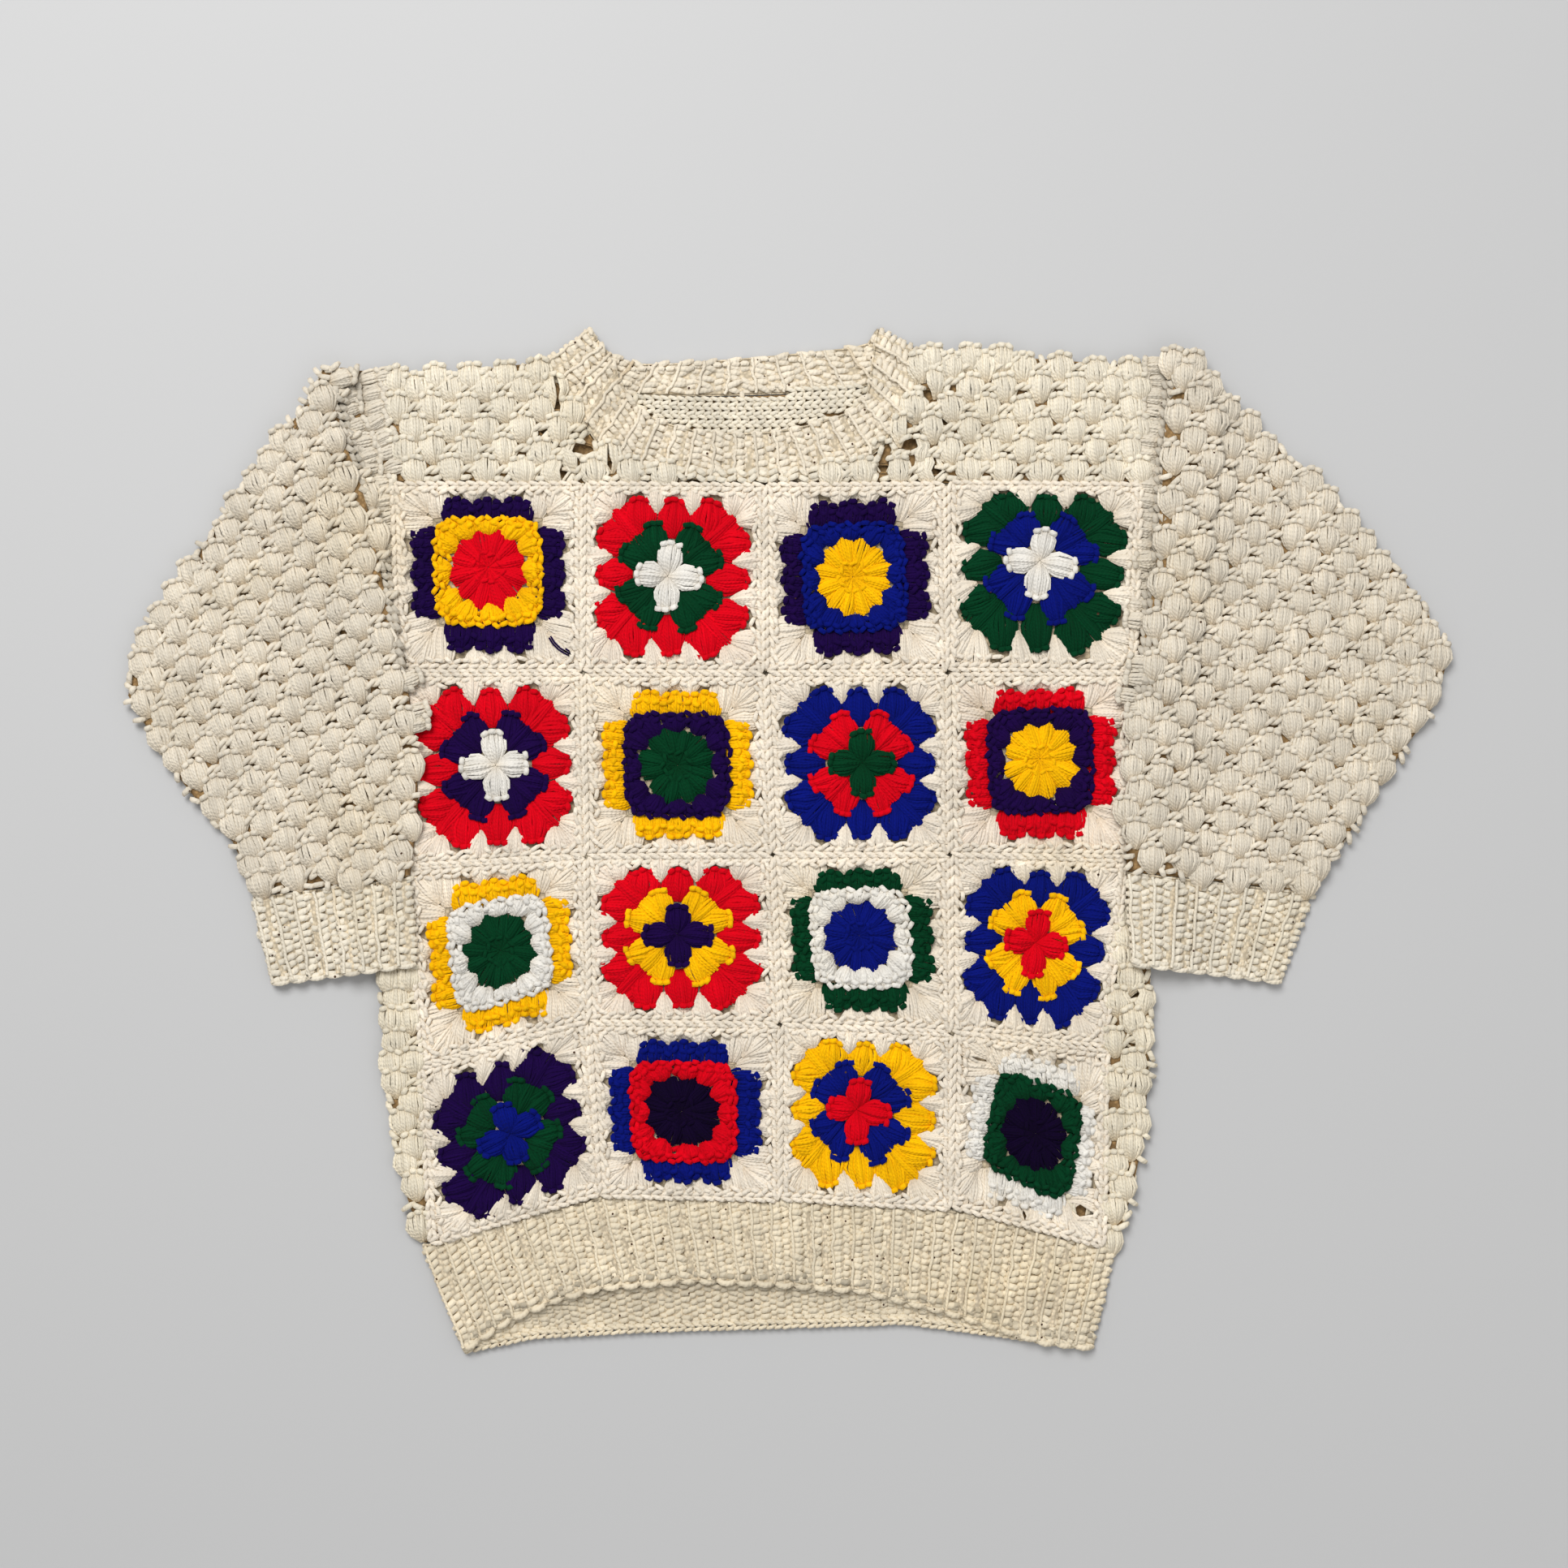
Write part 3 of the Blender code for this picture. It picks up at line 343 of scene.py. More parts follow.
def point_at(line, lengths, at):
    """Point of a line at that distance along it."""
    return np.array([np.interp(at, lengths, line[:, 0]), np.interp(at, lengths, line[:, 1])])


def point_on(line, share):
    """Point at that share of the way along a line."""
    line = np.asarray(line, dtype=float)
    lengths = distances(line)
    return point_at(line, lengths, share * lengths[-1])


def parted(points):
    """The strands pushed aside from the openings, and which of them don't cross one."""
    kept = np.ones(len(points), dtype=bool)
    for x, y, width, height in OPENINGS:
        half = np.array([width, height]) / 2
        away = (points[:, :, :2] - (x, y)) / half
        far = np.maximum(np.linalg.norm(away, axis=2, keepdims=True), 1e-6)
        pushed = (x, y) + away / far * (0.72 + far * 0.6) * half
        plan = np.where(far < 1.8, pushed, points[:, :, :2])
        points = np.concatenate([plan, points[:, :, 2:]], axis=2)
        middles = (points[:, 1:, :2] + points[:, :-1, :2]) / 2
        across = np.linalg.norm((middles - (x, y)) / half, axis=2) < 0.6
        kept &= ~across.any(axis=1)
    return points, kept


def placed(name, data):
    """A new object in the scene."""
    thing = bpy.data.objects.new(name, data)
    bpy.context.collection.objects.link(thing)
    return thing


class Yarn:
    """Strands of yarn gathered for one node's mesh."""

    def __init__(self, node):
        self.node = node
        self.cream = cream_of(node)
        self.groups = {}

    def add(self, points, radius, colour):
        """Strands that have equally many points: points (n, k, 3), radius (k), colour (3) or (n, 3)."""
        points, kept = parted(np.asarray(points, dtype=float))
        count, steps, _ = points.shape
        radius = np.broadcast_to(radius, (count, steps))
        shade = rng.normal(1.0, 0.05, (count, 1)) * np.broadcast_to(colour, (count, 3))
        if kept.any():
            self.groups.setdefault(steps, []).append((points[kept], radius[kept], shade[kept]))

    def rings(self, steps):
        """Vertices, faces and attributes of every strand with that many points."""
        points, radius, shade = (np.concatenate(rows) for rows in zip(*self.groups[steps]))
        count = len(points)
        tangents = unit(np.gradient(points, axis=1))
        start = np.where(np.abs(tangents[:, :1, 2:]) > 0.8, (1.0, 0.0, 0.0), (0.0, 0.0, 1.0))
        side = unit(np.cross(tangents[:, 0], start[:, 0]))
        sides = []
        for k in range(steps):
            along = tangents[:, k]
            side = unit(side - along * np.sum(side * along, axis=1, keepdims=True))
            sides.append(side)
        sides = np.stack(sides, axis=1)
        normals = np.cross(tangents, sides)
        angles = np.arange(TUBE_SIDES) * 2 * math.pi / TUBE_SIDES + math.pi / 4
        ring = (np.cos(angles)[:, None] * sides[:, :, None]
                + np.sin(angles)[:, None] * normals[:, :, None])
        vertices = points[:, :, None] + ring * radius[:, :, None, None]
        lengths = np.linalg.norm(np.diff(points, axis=1), axis=2)
        travelled = [rng.uniform(0, 20, (count, 1)), lengths]
        travelled = np.cumsum(np.concatenate(travelled, axis=1), axis=1)
        ply = np.empty((count, steps, TUBE_SIDES, 3))
        ply[..., 0] = np.cos(angles)
        ply[..., 1] = np.sin(angles)
        ply[..., 2] = travelled[:, :, None]
        # Lower parts of each strand are painted darker and browner: shade in the crevices, with some
        # dirt
        depth = points[:, :, 2].max(axis=1, keepdims=True) - points[:, :, 2]
        shade_and_dirt = np.clip(depth / CREVICE, 0, 1)[:, :, None, None]
        tint = np.ones((count, steps, TUBE_SIDES, 4))
        tint[..., :3] = shade[:, None, None] * (1 - shade_and_dirt * CREVICE_SHADE_AND_DIRT)
        index = np.arange(count * steps * TUBE_SIDES).reshape(count, steps, TUBE_SIDES)
        after = np.roll(index, -1, axis=2)
        walls = np.stack([index[:, :-1], index[:, 1:], after[:, 1:], after[:, :-1]], axis=-1)
        return vertices.reshape(-1, 3), walls.reshape(-1, 4), ply.reshape(-1, 3), tint.reshape(-1, 4)

    def covered(self):
        """Cells of the height lattice that the strands lie over."""
        cells = np.zeros(surface.counts, dtype=bool)
        for points, _, _ in sum(self.groups.values(), []):
            between = (points[:, 1:, :2] + points[:, :-1, :2]) / 2
            places = np.concatenate([points[:, :, :2], between], axis=1).reshape(-1, 2)
            index = np.round((places - surface.low) / surface.STEP).astype(int)
            index = np.clip(index, 0, surface.counts - 1)
            cells[index[:, 0], index[:, 1]] = True
        return cells

    def build(self, material):
        """One mesh object of all the strands."""
        vertices, faces, plies, tints = zip(*[self.rings(steps) for steps in sorted(self.groups)])
        offsets = np.cumsum([0] + [len(part) for part in vertices])
        faces = np.concatenate([part + offset for part, offset in zip(faces, offsets)])
        vertices = np.concatenate(vertices)
        vertices[:, 2] = np.maximum(vertices[:, 2], FLOOR_GAP)
        mesh = bpy.data.meshes.new(f"{self.node}_stitches")
        mesh.from_pydata(vertices * MM, [], faces.tolist())
        mesh.shade_smooth()
        ply = mesh.attributes.new("ply", "FLOAT_VECTOR", "POINT")
        ply.data.foreach_set("vector", np.concatenate(plies).ravel())
        tint = mesh.attributes.new("yarn", "FLOAT_COLOR", "POINT")
        tint.data.foreach_set("color", np.concatenate(tints).ravel())
        mesh.materials.append(material)
        return placed(mesh.name, mesh)


def knobs(yarn, base, tip, ground, tops, colour):
    """The loops that close the posts, in a curve round the end of a cluster."""
    axis = (tip - base) / max(np.linalg.norm(tip - base), 1e-9)
    side = perpendicular(axis)
    loop = ((-2.3, -0.5, -0.9), (-0.9, 0.2, 0.5), (0.9, 0.2, 0.5), (2.3, -0.5, -0.9))
    strands = []
    for top in tops:
        turn = -0.07 * top + rng.normal(0, 0.2)
        way = side * math.cos(turn) + axis * math.sin(turn)
        out = axis * math.cos(turn) - side * math.sin(turn)
        middle = tip + side * (top + rng.normal(0, 0.3))
        middle = middle - axis * (0.045 * top ** 2 + rng.normal(0, 0.35))
        high = ground + rng.normal(0, 0.2)
        strands.append([[*(middle + (way * a + out * b)), high + c] for a, b, c in loop])
    yarn.add(np.array(strands), KNOB_RADIUS * LOOP_TAPER, colour)


def cluster(yarn, base, tip, width, colour, ground, lift=3.8, posts=3, neck=0.2, full=0.6, close=0.12,
            crown=0.5, bulge=1.0, knob=True):
    """A fan of strands from base to tip, in posts with a groove between them and a knob on each.

    neck is its share of the width at its foot, full how far up it has all its width, close how much
    it draws in at its top, crown how much lower its sides are, and bulge how round its sides run.
    """
    base = np.asarray(base, dtype=float)
    tip = np.asarray(tip, dtype=float)
    steps = np.linspace(0.0, 1.0, POST_STEPS)
    axis = tip - base
    side = perpendicular(axis / max(np.linalg.norm(axis), 1e-9))
    growth = np.minimum(steps / full, 1.0)
    growth = bulge * np.sin(growth * math.pi / 2) + (1 - bulge) * growth
    spread = neck + (1 - neck) * growth
    spread = spread - close * np.maximum(steps - 0.6, 0) / 0.4
    per_post = max(round(width / posts / STRAND_PITCH), 2)
    count = per_post * posts
    strands = []
    for k in range(count):
        lane = (k + 0.5) / count * 2 - 1
        in_post = (k % per_post + 0.5) / per_post * 2 - 1
        reach = 1.0 + rng.normal(0, 0.015) - 0.05 * abs(lane) - 0.03 * abs(in_post)
        sideways = lane * width / 2 * spread + rng.normal(0, 0.12)
        sideways = sideways + 0.5 * np.sin(1.6 * math.pi * steps + rng.uniform(0, 6.3)) * spread
        rise = ground + lift * (1 - crown * lane ** 2) * np.sin(math.pi * (0.06 + 0.74 * steps))
        rise = rise - 0.95 * in_post ** 2 * spread + rng.normal(0, 0.08)
        plan = base + axis * (steps * reach)[:, None] + side * sideways[:, None]
        strands.append(np.column_stack([plan, rise]))
    yarn.add(np.array(strands), STRAND * POST_TAPER, colour)
    if knob:
        lanes = (np.arange(posts) - (posts - 1) / 2) / posts * width * 0.98 * (1 - 0.8 * close)
        knobs(yarn, base, tip, ground + 0.62 * lift, lanes, colour)


def braid(yarn, path, ground, colour, pitch=5.2, width=3.6, radius=0.95):
    """A row of V links along a line of plan points, like the top of a crocheted row."""
    path = np.asarray(path, dtype=float)
    lengths = distances(path)
    count = max(int(lengths[-1] / pitch), 1)
    strands = []
    for at in np.linspace(0, lengths[-1], count + 1)[:-1]:
        here = point_at(path, lengths, at)
        there = point_at(path, lengths, min(at + pitch * 1.35, lengths[-1]))
        forward = unit(there - here)
        side = perpendicular(forward)
        for hand in (-1, 1):
            leg = ((0.0, 0.50, -0.6), (0.30, 0.52, 0.9), (0.75, 0.34, 1.3), (1.30, 0.05, 0.3))
            strands.append([[*(here + forward * a * pitch + side * b * hand * width), ground + c]
                            for a, b, c in leg])
    strands = np.array(strands) + rng.normal(0, 0.12, (len(strands), 1, 3))
    yarn.add(strands, radius * LINK_TAPER, colour)


def lumps(yarn, path, ground, colour, pitch=5.4, radius=1.9, lean=0.3):
    """Plump uneven loops along a line of plan points, like the tops of a worked round."""
    path = np.asarray(path, dtype=float)
    lengths = distances(path)
    count = max(round(lengths[-1] / pitch), 1)
    strands = []
    for k in range(count):
        at = (k + 0.5) * lengths[-1] / count
        ends = [point_at(path, lengths, at + step) for step in (-1, 1)]
        forward = unit(ends[1] - ends[0])
        side = perpendicular(forward)
        hand = 1 if k % 2 else -1
        middle = sum(ends) / 2 + side * (hand * lean + rng.normal(0, 0.3))
        way = unit(forward + side * (hand * lean + rng.normal(0, 0.25)))
        reach = pitch * rng.normal(0.56, 0.05)
        high = ground + rng.normal(0, 0.25)
        loop = ((-1.0, -0.2, -1.0), (-0.4, 0.1, 0.4), (0.4, 0.1, 0.4), (1.0, -0.2, -1.0))
        strands.append([[*(middle + way * a * reach + side * b), high + c * radius * 0.6]
                        for a, b, c in loop])
    yarn.add(np.array(strands), radius * LOOP_TAPER, colour)


def twisted_bar(yarn, centre, along, ground):
    """Two strands twisted round each other between neighbouring clusters."""
    steps = np.linspace(0, 1, len(BAR_TAPER))
    side = perpendicular(along)
    strands = []
    for half in (0.0, math.pi):
        turn = half + steps * 1.7 * math.pi
        plan = (centre + along * ((steps - 0.5) * BAR_LENGTH)[:, None]
                + side * (np.cos(turn) * BAR_RADIUS * 0.75)[:, None])
        rise = ground + np.sin(turn) * BAR_RADIUS * 0.6 + 0.8 * np.sin(math.pi * steps)
        strands.append(np.column_stack([plan, rise]))
    yarn.add(np.array(strands), BAR_RADIUS * BAR_TAPER, yarn.cream)


# Heights of the frame
class Surface:
    """Height of a node's upper side over a lattice of points, seen from above."""

    STEP = 3.0

    def __init__(self, names):
        low, high = (np.array(c) / MM for c in packed)
        self.low = low[:2] - self.STEP
        self.counts = np.ceil((high[:2] - low[:2]) / self.STEP).astype(int) + 3
        self.tops = {name: self.cast(name) for name in names}
        stack = np.array([self.tops[name] for name in names])
        self.highest = np.nanmax(np.where(np.isnan(stack), -1, stack), axis=0)

    def cast(self, name):
        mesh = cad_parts[name].data
        tree = BVHTree.FromPolygons([v.co / MM for v in mesh.vertices],
                                    [p.vertices for p in mesh.polygons])
        low, high = (np.array(c)[:2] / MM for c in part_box(name))
        tops = np.full(self.counts, np.nan)
        first = np.floor((low - self.low) / self.STEP).astype(int)
        last = np.ceil((high - self.low) / self.STEP).astype(int) + 1
        for i in range(first[0], last[0]):
            for j in range(first[1], last[1]):
                x, y = self.place(i, j)
                hit = tree.ray_cast(Vector((x, y, 100.0)), Vector((0, 0, -1)))[0]
                if hit is not None:
                    tops[i, j] = hit.z
        return tops

    def cell(self, x, y):
        i, j = np.round((np.array([x, y]) - self.low) / self.STEP).astype(int)
        return min(max(i, 0), self.counts[0] - 1), min(max(j, 0), self.counts[1] - 1)

    def visible(self, name, x, y):
        """True where that node is the topmost one."""
        cell = self.cell(x, y)
        return bool(self.tops[name][cell] >= self.highest[cell] - 0.2)

    def place(self, i, j):
        return self.low + np.array([i, j]) * self.STEP

    def outside(self, x, y):
        return bool(self.highest[self.cell(x, y)] < 0)

    def height(self, name, x, y):
        """Mean height near a point, or None off the node."""
        i, j = self.cell(x, y)
        near = self.tops[name][max(i - 1, 0):i + 2, max(j - 1, 0):j + 2]
        if np.all(np.isnan(near)):
            return None
        return float(np.nanmean(near))


# Squares
class Square:
    """A square's plan: its own corners, with the motif's middle where the photograph has it."""

    def __init__(self, row, column):
        top, low = (np.transpose(SEAM_LINES[k])[column:column + 2] for k in (row, row + 1))
        self.corners = np.concatenate([low, top[::-1]])
        self.middle, turn, self.kind, *self.rounds = SQUARES[row][column]
        self.turn = math.radians(turn)
        self.name = f"square_{row + 1}{column + 1}"

    def at(self, x, y):
        """Plan point from a place in a usual square."""
        a, b = x / HALF_SQUARE, y / HALF_SQUARE
        turn = self.turn * max(1 - max(abs(a), abs(b)) ** 2.5, 0)
        a, b = a * math.cos(turn) - b * math.sin(turn), a * math.sin(turn) + b * math.cos(turn)
        weights = np.array([(1 - a) * (1 - b), (1 + a) * (1 - b),
                            (1 + a) * (1 + b), (1 - a) * (1 + b)]) / 4
        plain = weights @ self.corners
        offset = np.array(self.middle) - self.corners.mean(axis=0)
        return plain + offset * max(1 - max(abs(a), abs(b)) ** 1.5, 0)


def turned(x, y, quarter):
    for _ in range(quarter):
        x, y = -y, x
    return x, y


def fan(yarn, square, foot, top, width, colour, quarter, raised=0.0, **shape):
    """A cluster placed in a square, turned by quarters."""
    cluster(yarn, square.at(*turned(*foot, quarter)), square.at(*turned(*top, quarter)), width,
            colour, FRONT_GROUND + raised, **shape)


def fans(yarn, square, table, colours, quarter):
    """The clusters of a table, in one quarter of a square."""
    for foot, top, width, name, shape in table:
        fan(yarn, square, foot, top, width, colours[name], quarter, **shape)


def petal_square(yarn, square, colours):
    """Four petals, four pairs in the corners, and two rounds of clusters round them."""
    for quarter in range(4):
        fans(yarn, square, PETAL_FANS, colours, quarter)


def disc_square(yarn, square, colours):
    """A disc of radial posts, a ring, four bars of three clusters, and a cream round."""
    for quarter in range(4):
        fans(yarn, square, DISC_BARS, colours, quarter)
        edge = [square.at(*turned(x, 40.5 + 0.9 * math.cos(x * math.pi / 9.5), quarter))
                for x in np.linspace(-26, 26, 30)]
        lumps(yarn, edge, FRONT_GROUND + 3.2, colours["third"], pitch=5.0, radius=1.9, lean=0.6)
        fans(yarn, square, DISC_EDGE_FANS, colours, quarter)
    for k in range(DISC_POSTS):
        way = heading(2 * math.pi * (k + 0.5) / DISC_POSTS + rng.normal(0, 0.05))
        cluster(yarn, square.at(*(way * 0.5)), square.at(*(way * rng.normal(25.0, 0.8))), 13.2,
                colours["first"], FRONT_GROUND, posts=1, neck=0.05, full=0.85, close=0.1, lift=3.4,
                knob=False)
    inner = [square.at(*(9.0 * heading(angle))) for angle in np.linspace(0, 2 * math.pi, 25)]
    lumps(yarn, inner, FRONT_GROUND + 3.0, colours["first"], pitch=5.0, radius=1.5, lean=0.5)
    for quarter in range(4):
        for turn, foot, raised in RING_CLUSTERS:
            way = heading(math.radians(turn + 90) + rng.normal(0, 0.05))
            reach = RING_REACH / max(abs(way[0]), abs(way[1])) ** 0.8
            fan(yarn, square, tuple(way * rng.normal(foot, 0.9)), tuple(way * reach), 17.0,
                colours["second"], quarter, knob=False, neck=0.3, full=0.9, bulge=0.8, raised=raised)
    for size, height in RING_ROWS:
        ring = []
        for k in range(49):
            way = heading(2 * math.pi * k / 48)
            reach = size / (abs(way[0]) ** 5 + abs(way[1]) ** 5) ** 0.2
            ring.append(square.at(*(way * reach)))
        lumps(yarn, ring, FRONT_GROUND + height, colours["second"], pitch=5.2, radius=2.0, lean=0.55)


def square_edge(yarn, square):
    """The last round's tops, and the V links beside the seams."""
    for quarter in range(4):
        tops, links = [[square.at(*turned(x, reach, quarter)) for x in np.linspace(-reach, reach, 9)]
                       for reach in (HALF_SQUARE - 6.6, HALF_SQUARE - 2.4)]
        lumps(yarn, tops, FRONT_GROUND + 3.6, yarn.cream, pitch=6.0, radius=1.75, lean=0.5)
        lumps(yarn, links, FRONT_GROUND + 1.7, yarn.cream, pitch=4.4, radius=1.8, lean=0.3)
        braid(yarn, links, FRONT_GROUND + 2.3, yarn.cream, pitch=6.2, width=4.3, radius=1.75)


def square_yarn(square):
    yarn = Yarn(square.name)
    colours = {name: colour_of(c) for name, c in zip(("first", "second", "third"), square.rounds)}
    colours["edge"] = yarn.cream * (1 - TINT) + colours["third"] * TINT
    works = {"petals": petal_square, "disc": disc_square}
    works[square.kind](yarn, square, colours)
    square_edge(yarn, square)
    if square.name == LOOSE_END[0]:
        for offset in (-0.5, 0.5):
            points = [(x + offset, y + offset, FRONT_GROUND + 5.0) for x, y in LOOSE_END[1]]
            yarn.add(np.array([points]), 0.75, colours["third"])
    return yarn


ROUND_WAYS = [heading(k * math.pi / 4) for k in range(8)]


def inward(node, place):
    """Where a stitch goes so that it stays over what shows of its node."""
    place = place.copy()
    for _ in range(5):
        step = np.zeros(2)
        for way in ROUND_WAYS:
            if surface.outside(*(place + way * 7.5)):
                step -= way * 0.7
            elif not surface.visible(node, *(place + way * 4.0)):
                step -= way * 0.5
        place += step
    return place


def fold_at(node, y):
    """Place in x of the armhole's fold at that height, and which way the squares lie from it."""
    fold = np.array(ARMHOLES[node])[::-1]
    return np.interp(y, fold[:, 1], fold[:, 0]), 1 if node == "sleeve_left" else -1


def beyond_fold(node, x, y):
    """How far a point lies from the armhole's fold towards the squares, or -1 without one."""
    if node not in ARMHOLES or y < ARMHOLES[node][-1][1]:
        return -1.0
    edge, hand = fold_at(node, y)
    return hand * (x - edge)


def worked_cluster(yarn, centre, up, width, reach, lift, sink, colour):
    """One cluster of a row on its node's surface, or nothing where that isn't under it."""
    high = surface.height(yarn.node, *centre)
    if high is None:
        return
    lean = perpendicular(up) * rng.normal(0.8, 0.4)
    cluster(yarn, centre - up * reach * 0.45 + lean, centre + up * reach * 0.55 - lean,
            width * rng.normal(1, 0.05), colour, high - 1.6 - sink, lift=lift * rng.normal(1, 0.06),
            neck=0.14, crown=0.6, close=0.25)


def cluster_rows(yarn, start, angle, rows, top):
    """Brick rows of clusters over what shows of a node, from the one that passes start."""
    node = yarn.node
    along = heading(angle)
    up = np.array([-along[1], along[0]])
    reaches = (up * 0, up * 4, up * -4, along * 4, along * -4)
    for row in range(-2, rows):
        shift = 0.5 * CLUSTER_PITCH if row % 2 else 0.0
        for k in range(-ROW_SPAN, ROW_SPAN + 1):
            centre = np.array(start) + up * (row * ROW_PITCH) + along * (k * CLUSTER_PITCH + shift)
            centre = centre + rng.normal(0, 0.6, 2)
            shows = any(surface.visible(node, *(centre + reach)) for reach in reaches)
            if not shows or centre[1] >= top or beyond_fold(node, *centre) > 2:
                continue
            centre = inward(node, centre)
            worked_cluster(yarn, centre, up, 18.5, 19.5, 5.6, 0.0, yarn.cream)
            between = centre + along * CLUSTER_PITCH * 0.5 + up * 2.2
            ends = [between + along * step for step in (-7, 7)]
            if surface.visible(node, *between) and not any(surface.outside(*end) for end in ends):
                slope = unit(along + up * rng.normal(0.14, 0.08))
                twisted_bar(yarn, between, slope, surface.height(node, *between) + 0.7)


def sideways_clusters(yarn):
    """Clusters between an armhole's fold and the squares, which lie across it and lower."""
    node = yarn.node
    for y in np.arange(*SIDEWAYS_ROWS):
        edge, hand = fold_at(node, y)
        for out in SIDEWAYS_REACHES:
            centre = np.array([edge + hand * (out + rng.normal(0, 1.6)),
                               y + rng.normal(0, 0.8) + out * 0.12])
            if surface.visible(node, *centre):
                # A little darker, as painted shade in the trough beyond the fold
                worked_cluster(yarn, centre, np.array([hand, 0.2]), 12.0, 17.0, 4.6, 0.7,
                               yarn.cream * 0.95)
    # Loops along the fold, darkened as painted shade in its trough
    for out, shade in FOLD_LINES:
        for share in np.linspace(0.0, 0.96, 36):
            path = [point_on(ARMHOLES[node], share + step) + (hand * out, 0) for step in (0.0, 0.03)]
            high = surface.height(node, *path[0])
            if high is not None and surface.visible(node, *path[0]):
                lumps(yarn, path, high - 0.7, yarn.cream * shade, pitch=6.0, radius=2.4, lean=0.6)


def fill_gaps(yarn):
    """Small loops over what the rows leave bare, apart from the openings."""
    bare = ~yarn.covered()
    for i, j in np.argwhere(bare):
        x, y = surface.place(i, j)
        if not bare[i, j] or not surface.visible(yarn.node, x, y):
            continue
        if any(((x - a) / w) ** 2 + ((y - b) / h) ** 2 < 0.3 for a, b, w, h in OPENINGS):
            continue
        bare[max(i - 1, 0):i + 2, max(j - 1, 0):j + 2] = False
        way = heading(rng.normal(0.2, 0.5)) * 3.4
        if surface.outside(*((x, y) + way * 1.6)) or surface.outside(*((x, y) - way * 1.6)):
            way = perpendicular(way)
        lumps(yarn, [(x, y) - way, (x, y) + way], surface.height(yarn.node, x, y) + 0.4, yarn.cream,
              pitch=6.5, radius=2.2)


def edge_knots(yarn):
    """Rows of knots down a node's side, where the garment ends."""
    strands = []
    last = []
    tops = surface.tops[yarn.node]
    for i, j in np.argwhere(~np.isnan(tops)):
        place = surface.place(i, j)
        inside = np.zeros(2)
        for way in ROUND_WAYS:
            if surface.outside(*(place + way * surface.STEP * 1.2)):
                inside -= way
        if not inside.any() or any(np.hypot(*(place - other)) < 4.4 for other in last):
            continue
        last.append(place)
        inside = unit(inside)
        way = perpendicular(inside)
        for level, z in enumerate(np.arange(2.3, max(tops[i, j] - 0.5, 2.4), 3.7)):
            middle = place + inside * 1.2 + way * (1.5 if level % 2 else -0.7) + rng.normal(0, 0.3, 2)
            rise = rng.normal(0, 0.4)
            knot = ((-2.6, -0.9), (-1.0, 0.2), (1.0, 0.2), (2.6, -0.9))
            strands.append([[*(middle + way * a - inside * b * 0.6), z + a * rise * 0.3]
                            for a, b in knot])
    if strands:
        yarn.add(np.array(strands), 2.2 * KNOT_TAPER, yarn.cream)


def rib_patch(yarn, near, far, ribs, shade_scale=1.0, size=1.0, depth=1.1, edge_shadow=0.0):
    """Ribs from the near edge to the far one, each a ridge of plump knots beside a furrow.

    ribs names a row of RIBS, tone scales every knot's colour, which below one is painted shade, and dim
    is how much darker the stitches are along the far edge, a painted shadow as under an edge lying over
    them.
    """
    ribs, rows = RIBS[ribs]
    # Place across the rib, half length, radius, drop and row shift of a ridge's and a furrow's knots
    columns = ((0.30, 0.33, 2.7, -0.2, 0.0), (0.80, 0.27, 2.55, depth, 0.5))
    for place_in_rib, half, radius, drop, shift in columns:
        strands = []
        shades = []
        for rib in range(ribs):
            share = (rib + place_in_rib) / ribs
            foot = point_on(near, share)
            head = point_on(far, share)
            across = unit(point_on(near, min(share + 0.01, 1)) - point_on(near, max(share - 0.01, 0)))
            up = unit(head - foot)
            for row in range(rows):
                along = (row + 0.4 + shift + rng.normal(0, 0.07)) / (rows + 0.3)
                place = foot + (head - foot) * along
                breadth = (distances(near)[-1] * (1 - along) + distances(far)[-1] * along) / ribs
                place = place + across * rng.normal(0, 0.35)
                high = surface.height(yarn.node, *place)
                if high is None:
                    continue
                high = high - 1.5 - drop + rng.normal(0, 0.3)
                way = unit(across + up * rng.normal(0.1, 0.3))
                reach = half * breadth * rng.normal(1, 0.08)
                knot = ((-1.0, -1.1), (-0.4, 0.2), (0.4, 0.2), (1.0, -1.1))
                strands.append([[*(place + way * a * reach), high + c * size] for a, c in knot])
                shades.append(yarn.cream * shade_scale * (1 - edge_shadow * along ** 2))
        yarn.add(np.array(strands), radius * size * KNOT_TAPER, np.array(shades))


def ridge_lines(yarn, near, far, ribs, radius=1.25):
    """A strand along the top of each rib."""
    count = RIBS[ribs][0]
    for rib in range(count):
        foot = point_on(near, (rib + 0.12) / count)
        head = point_on(far, (rib + 0.12) / count)
        side = perpendicular(unit(head - foot))
        points = []
        for share in np.linspace(0.02, 0.98, 9):
            place = foot + (head - foot) * share + side * rng.normal(0, 0.6)
            high = surface.height(yarn.node, *place)
            if high is not None:
                points.append([*place, high + 0.9 + rng.normal(0, 0.3)])
        yarn.add(np.array([points]), radius, yarn.cream)


def scallops(yarn, edge, ribs, drop, radius):
    """Rounded ends of the ribs along an edge."""
    count = RIBS[ribs][0]
    strands = []
    for k in range(count):
        ends = [point_on(edge, (k + share) / count) for share in (0.04, 0.5, 0.96)]
        across = unit(ends[2] - ends[0])
        down = perpendicular(across)
        high = surface.height(yarn.node, *(ends[1] - down * 4))
        if high is None:
            continue
        high = high - 0.8
        half = np.linalg.norm(ends[2] - ends[0]) / 2
        arch = ((-1.0, -1.0, -0.9), (-0.5, 0.0, 0.2), (0.0, 0.3, 0.5), (0.5, 0.0, 0.2),
                (1.0, -1.0, -0.9))
        strands.append([[*(ends[1] + across * a * half + down * (b * drop)), high + c]
                        for a, b, c in arch])
    yarn.add(np.array(strands), radius * ARCH_TAPER, yarn.cream)


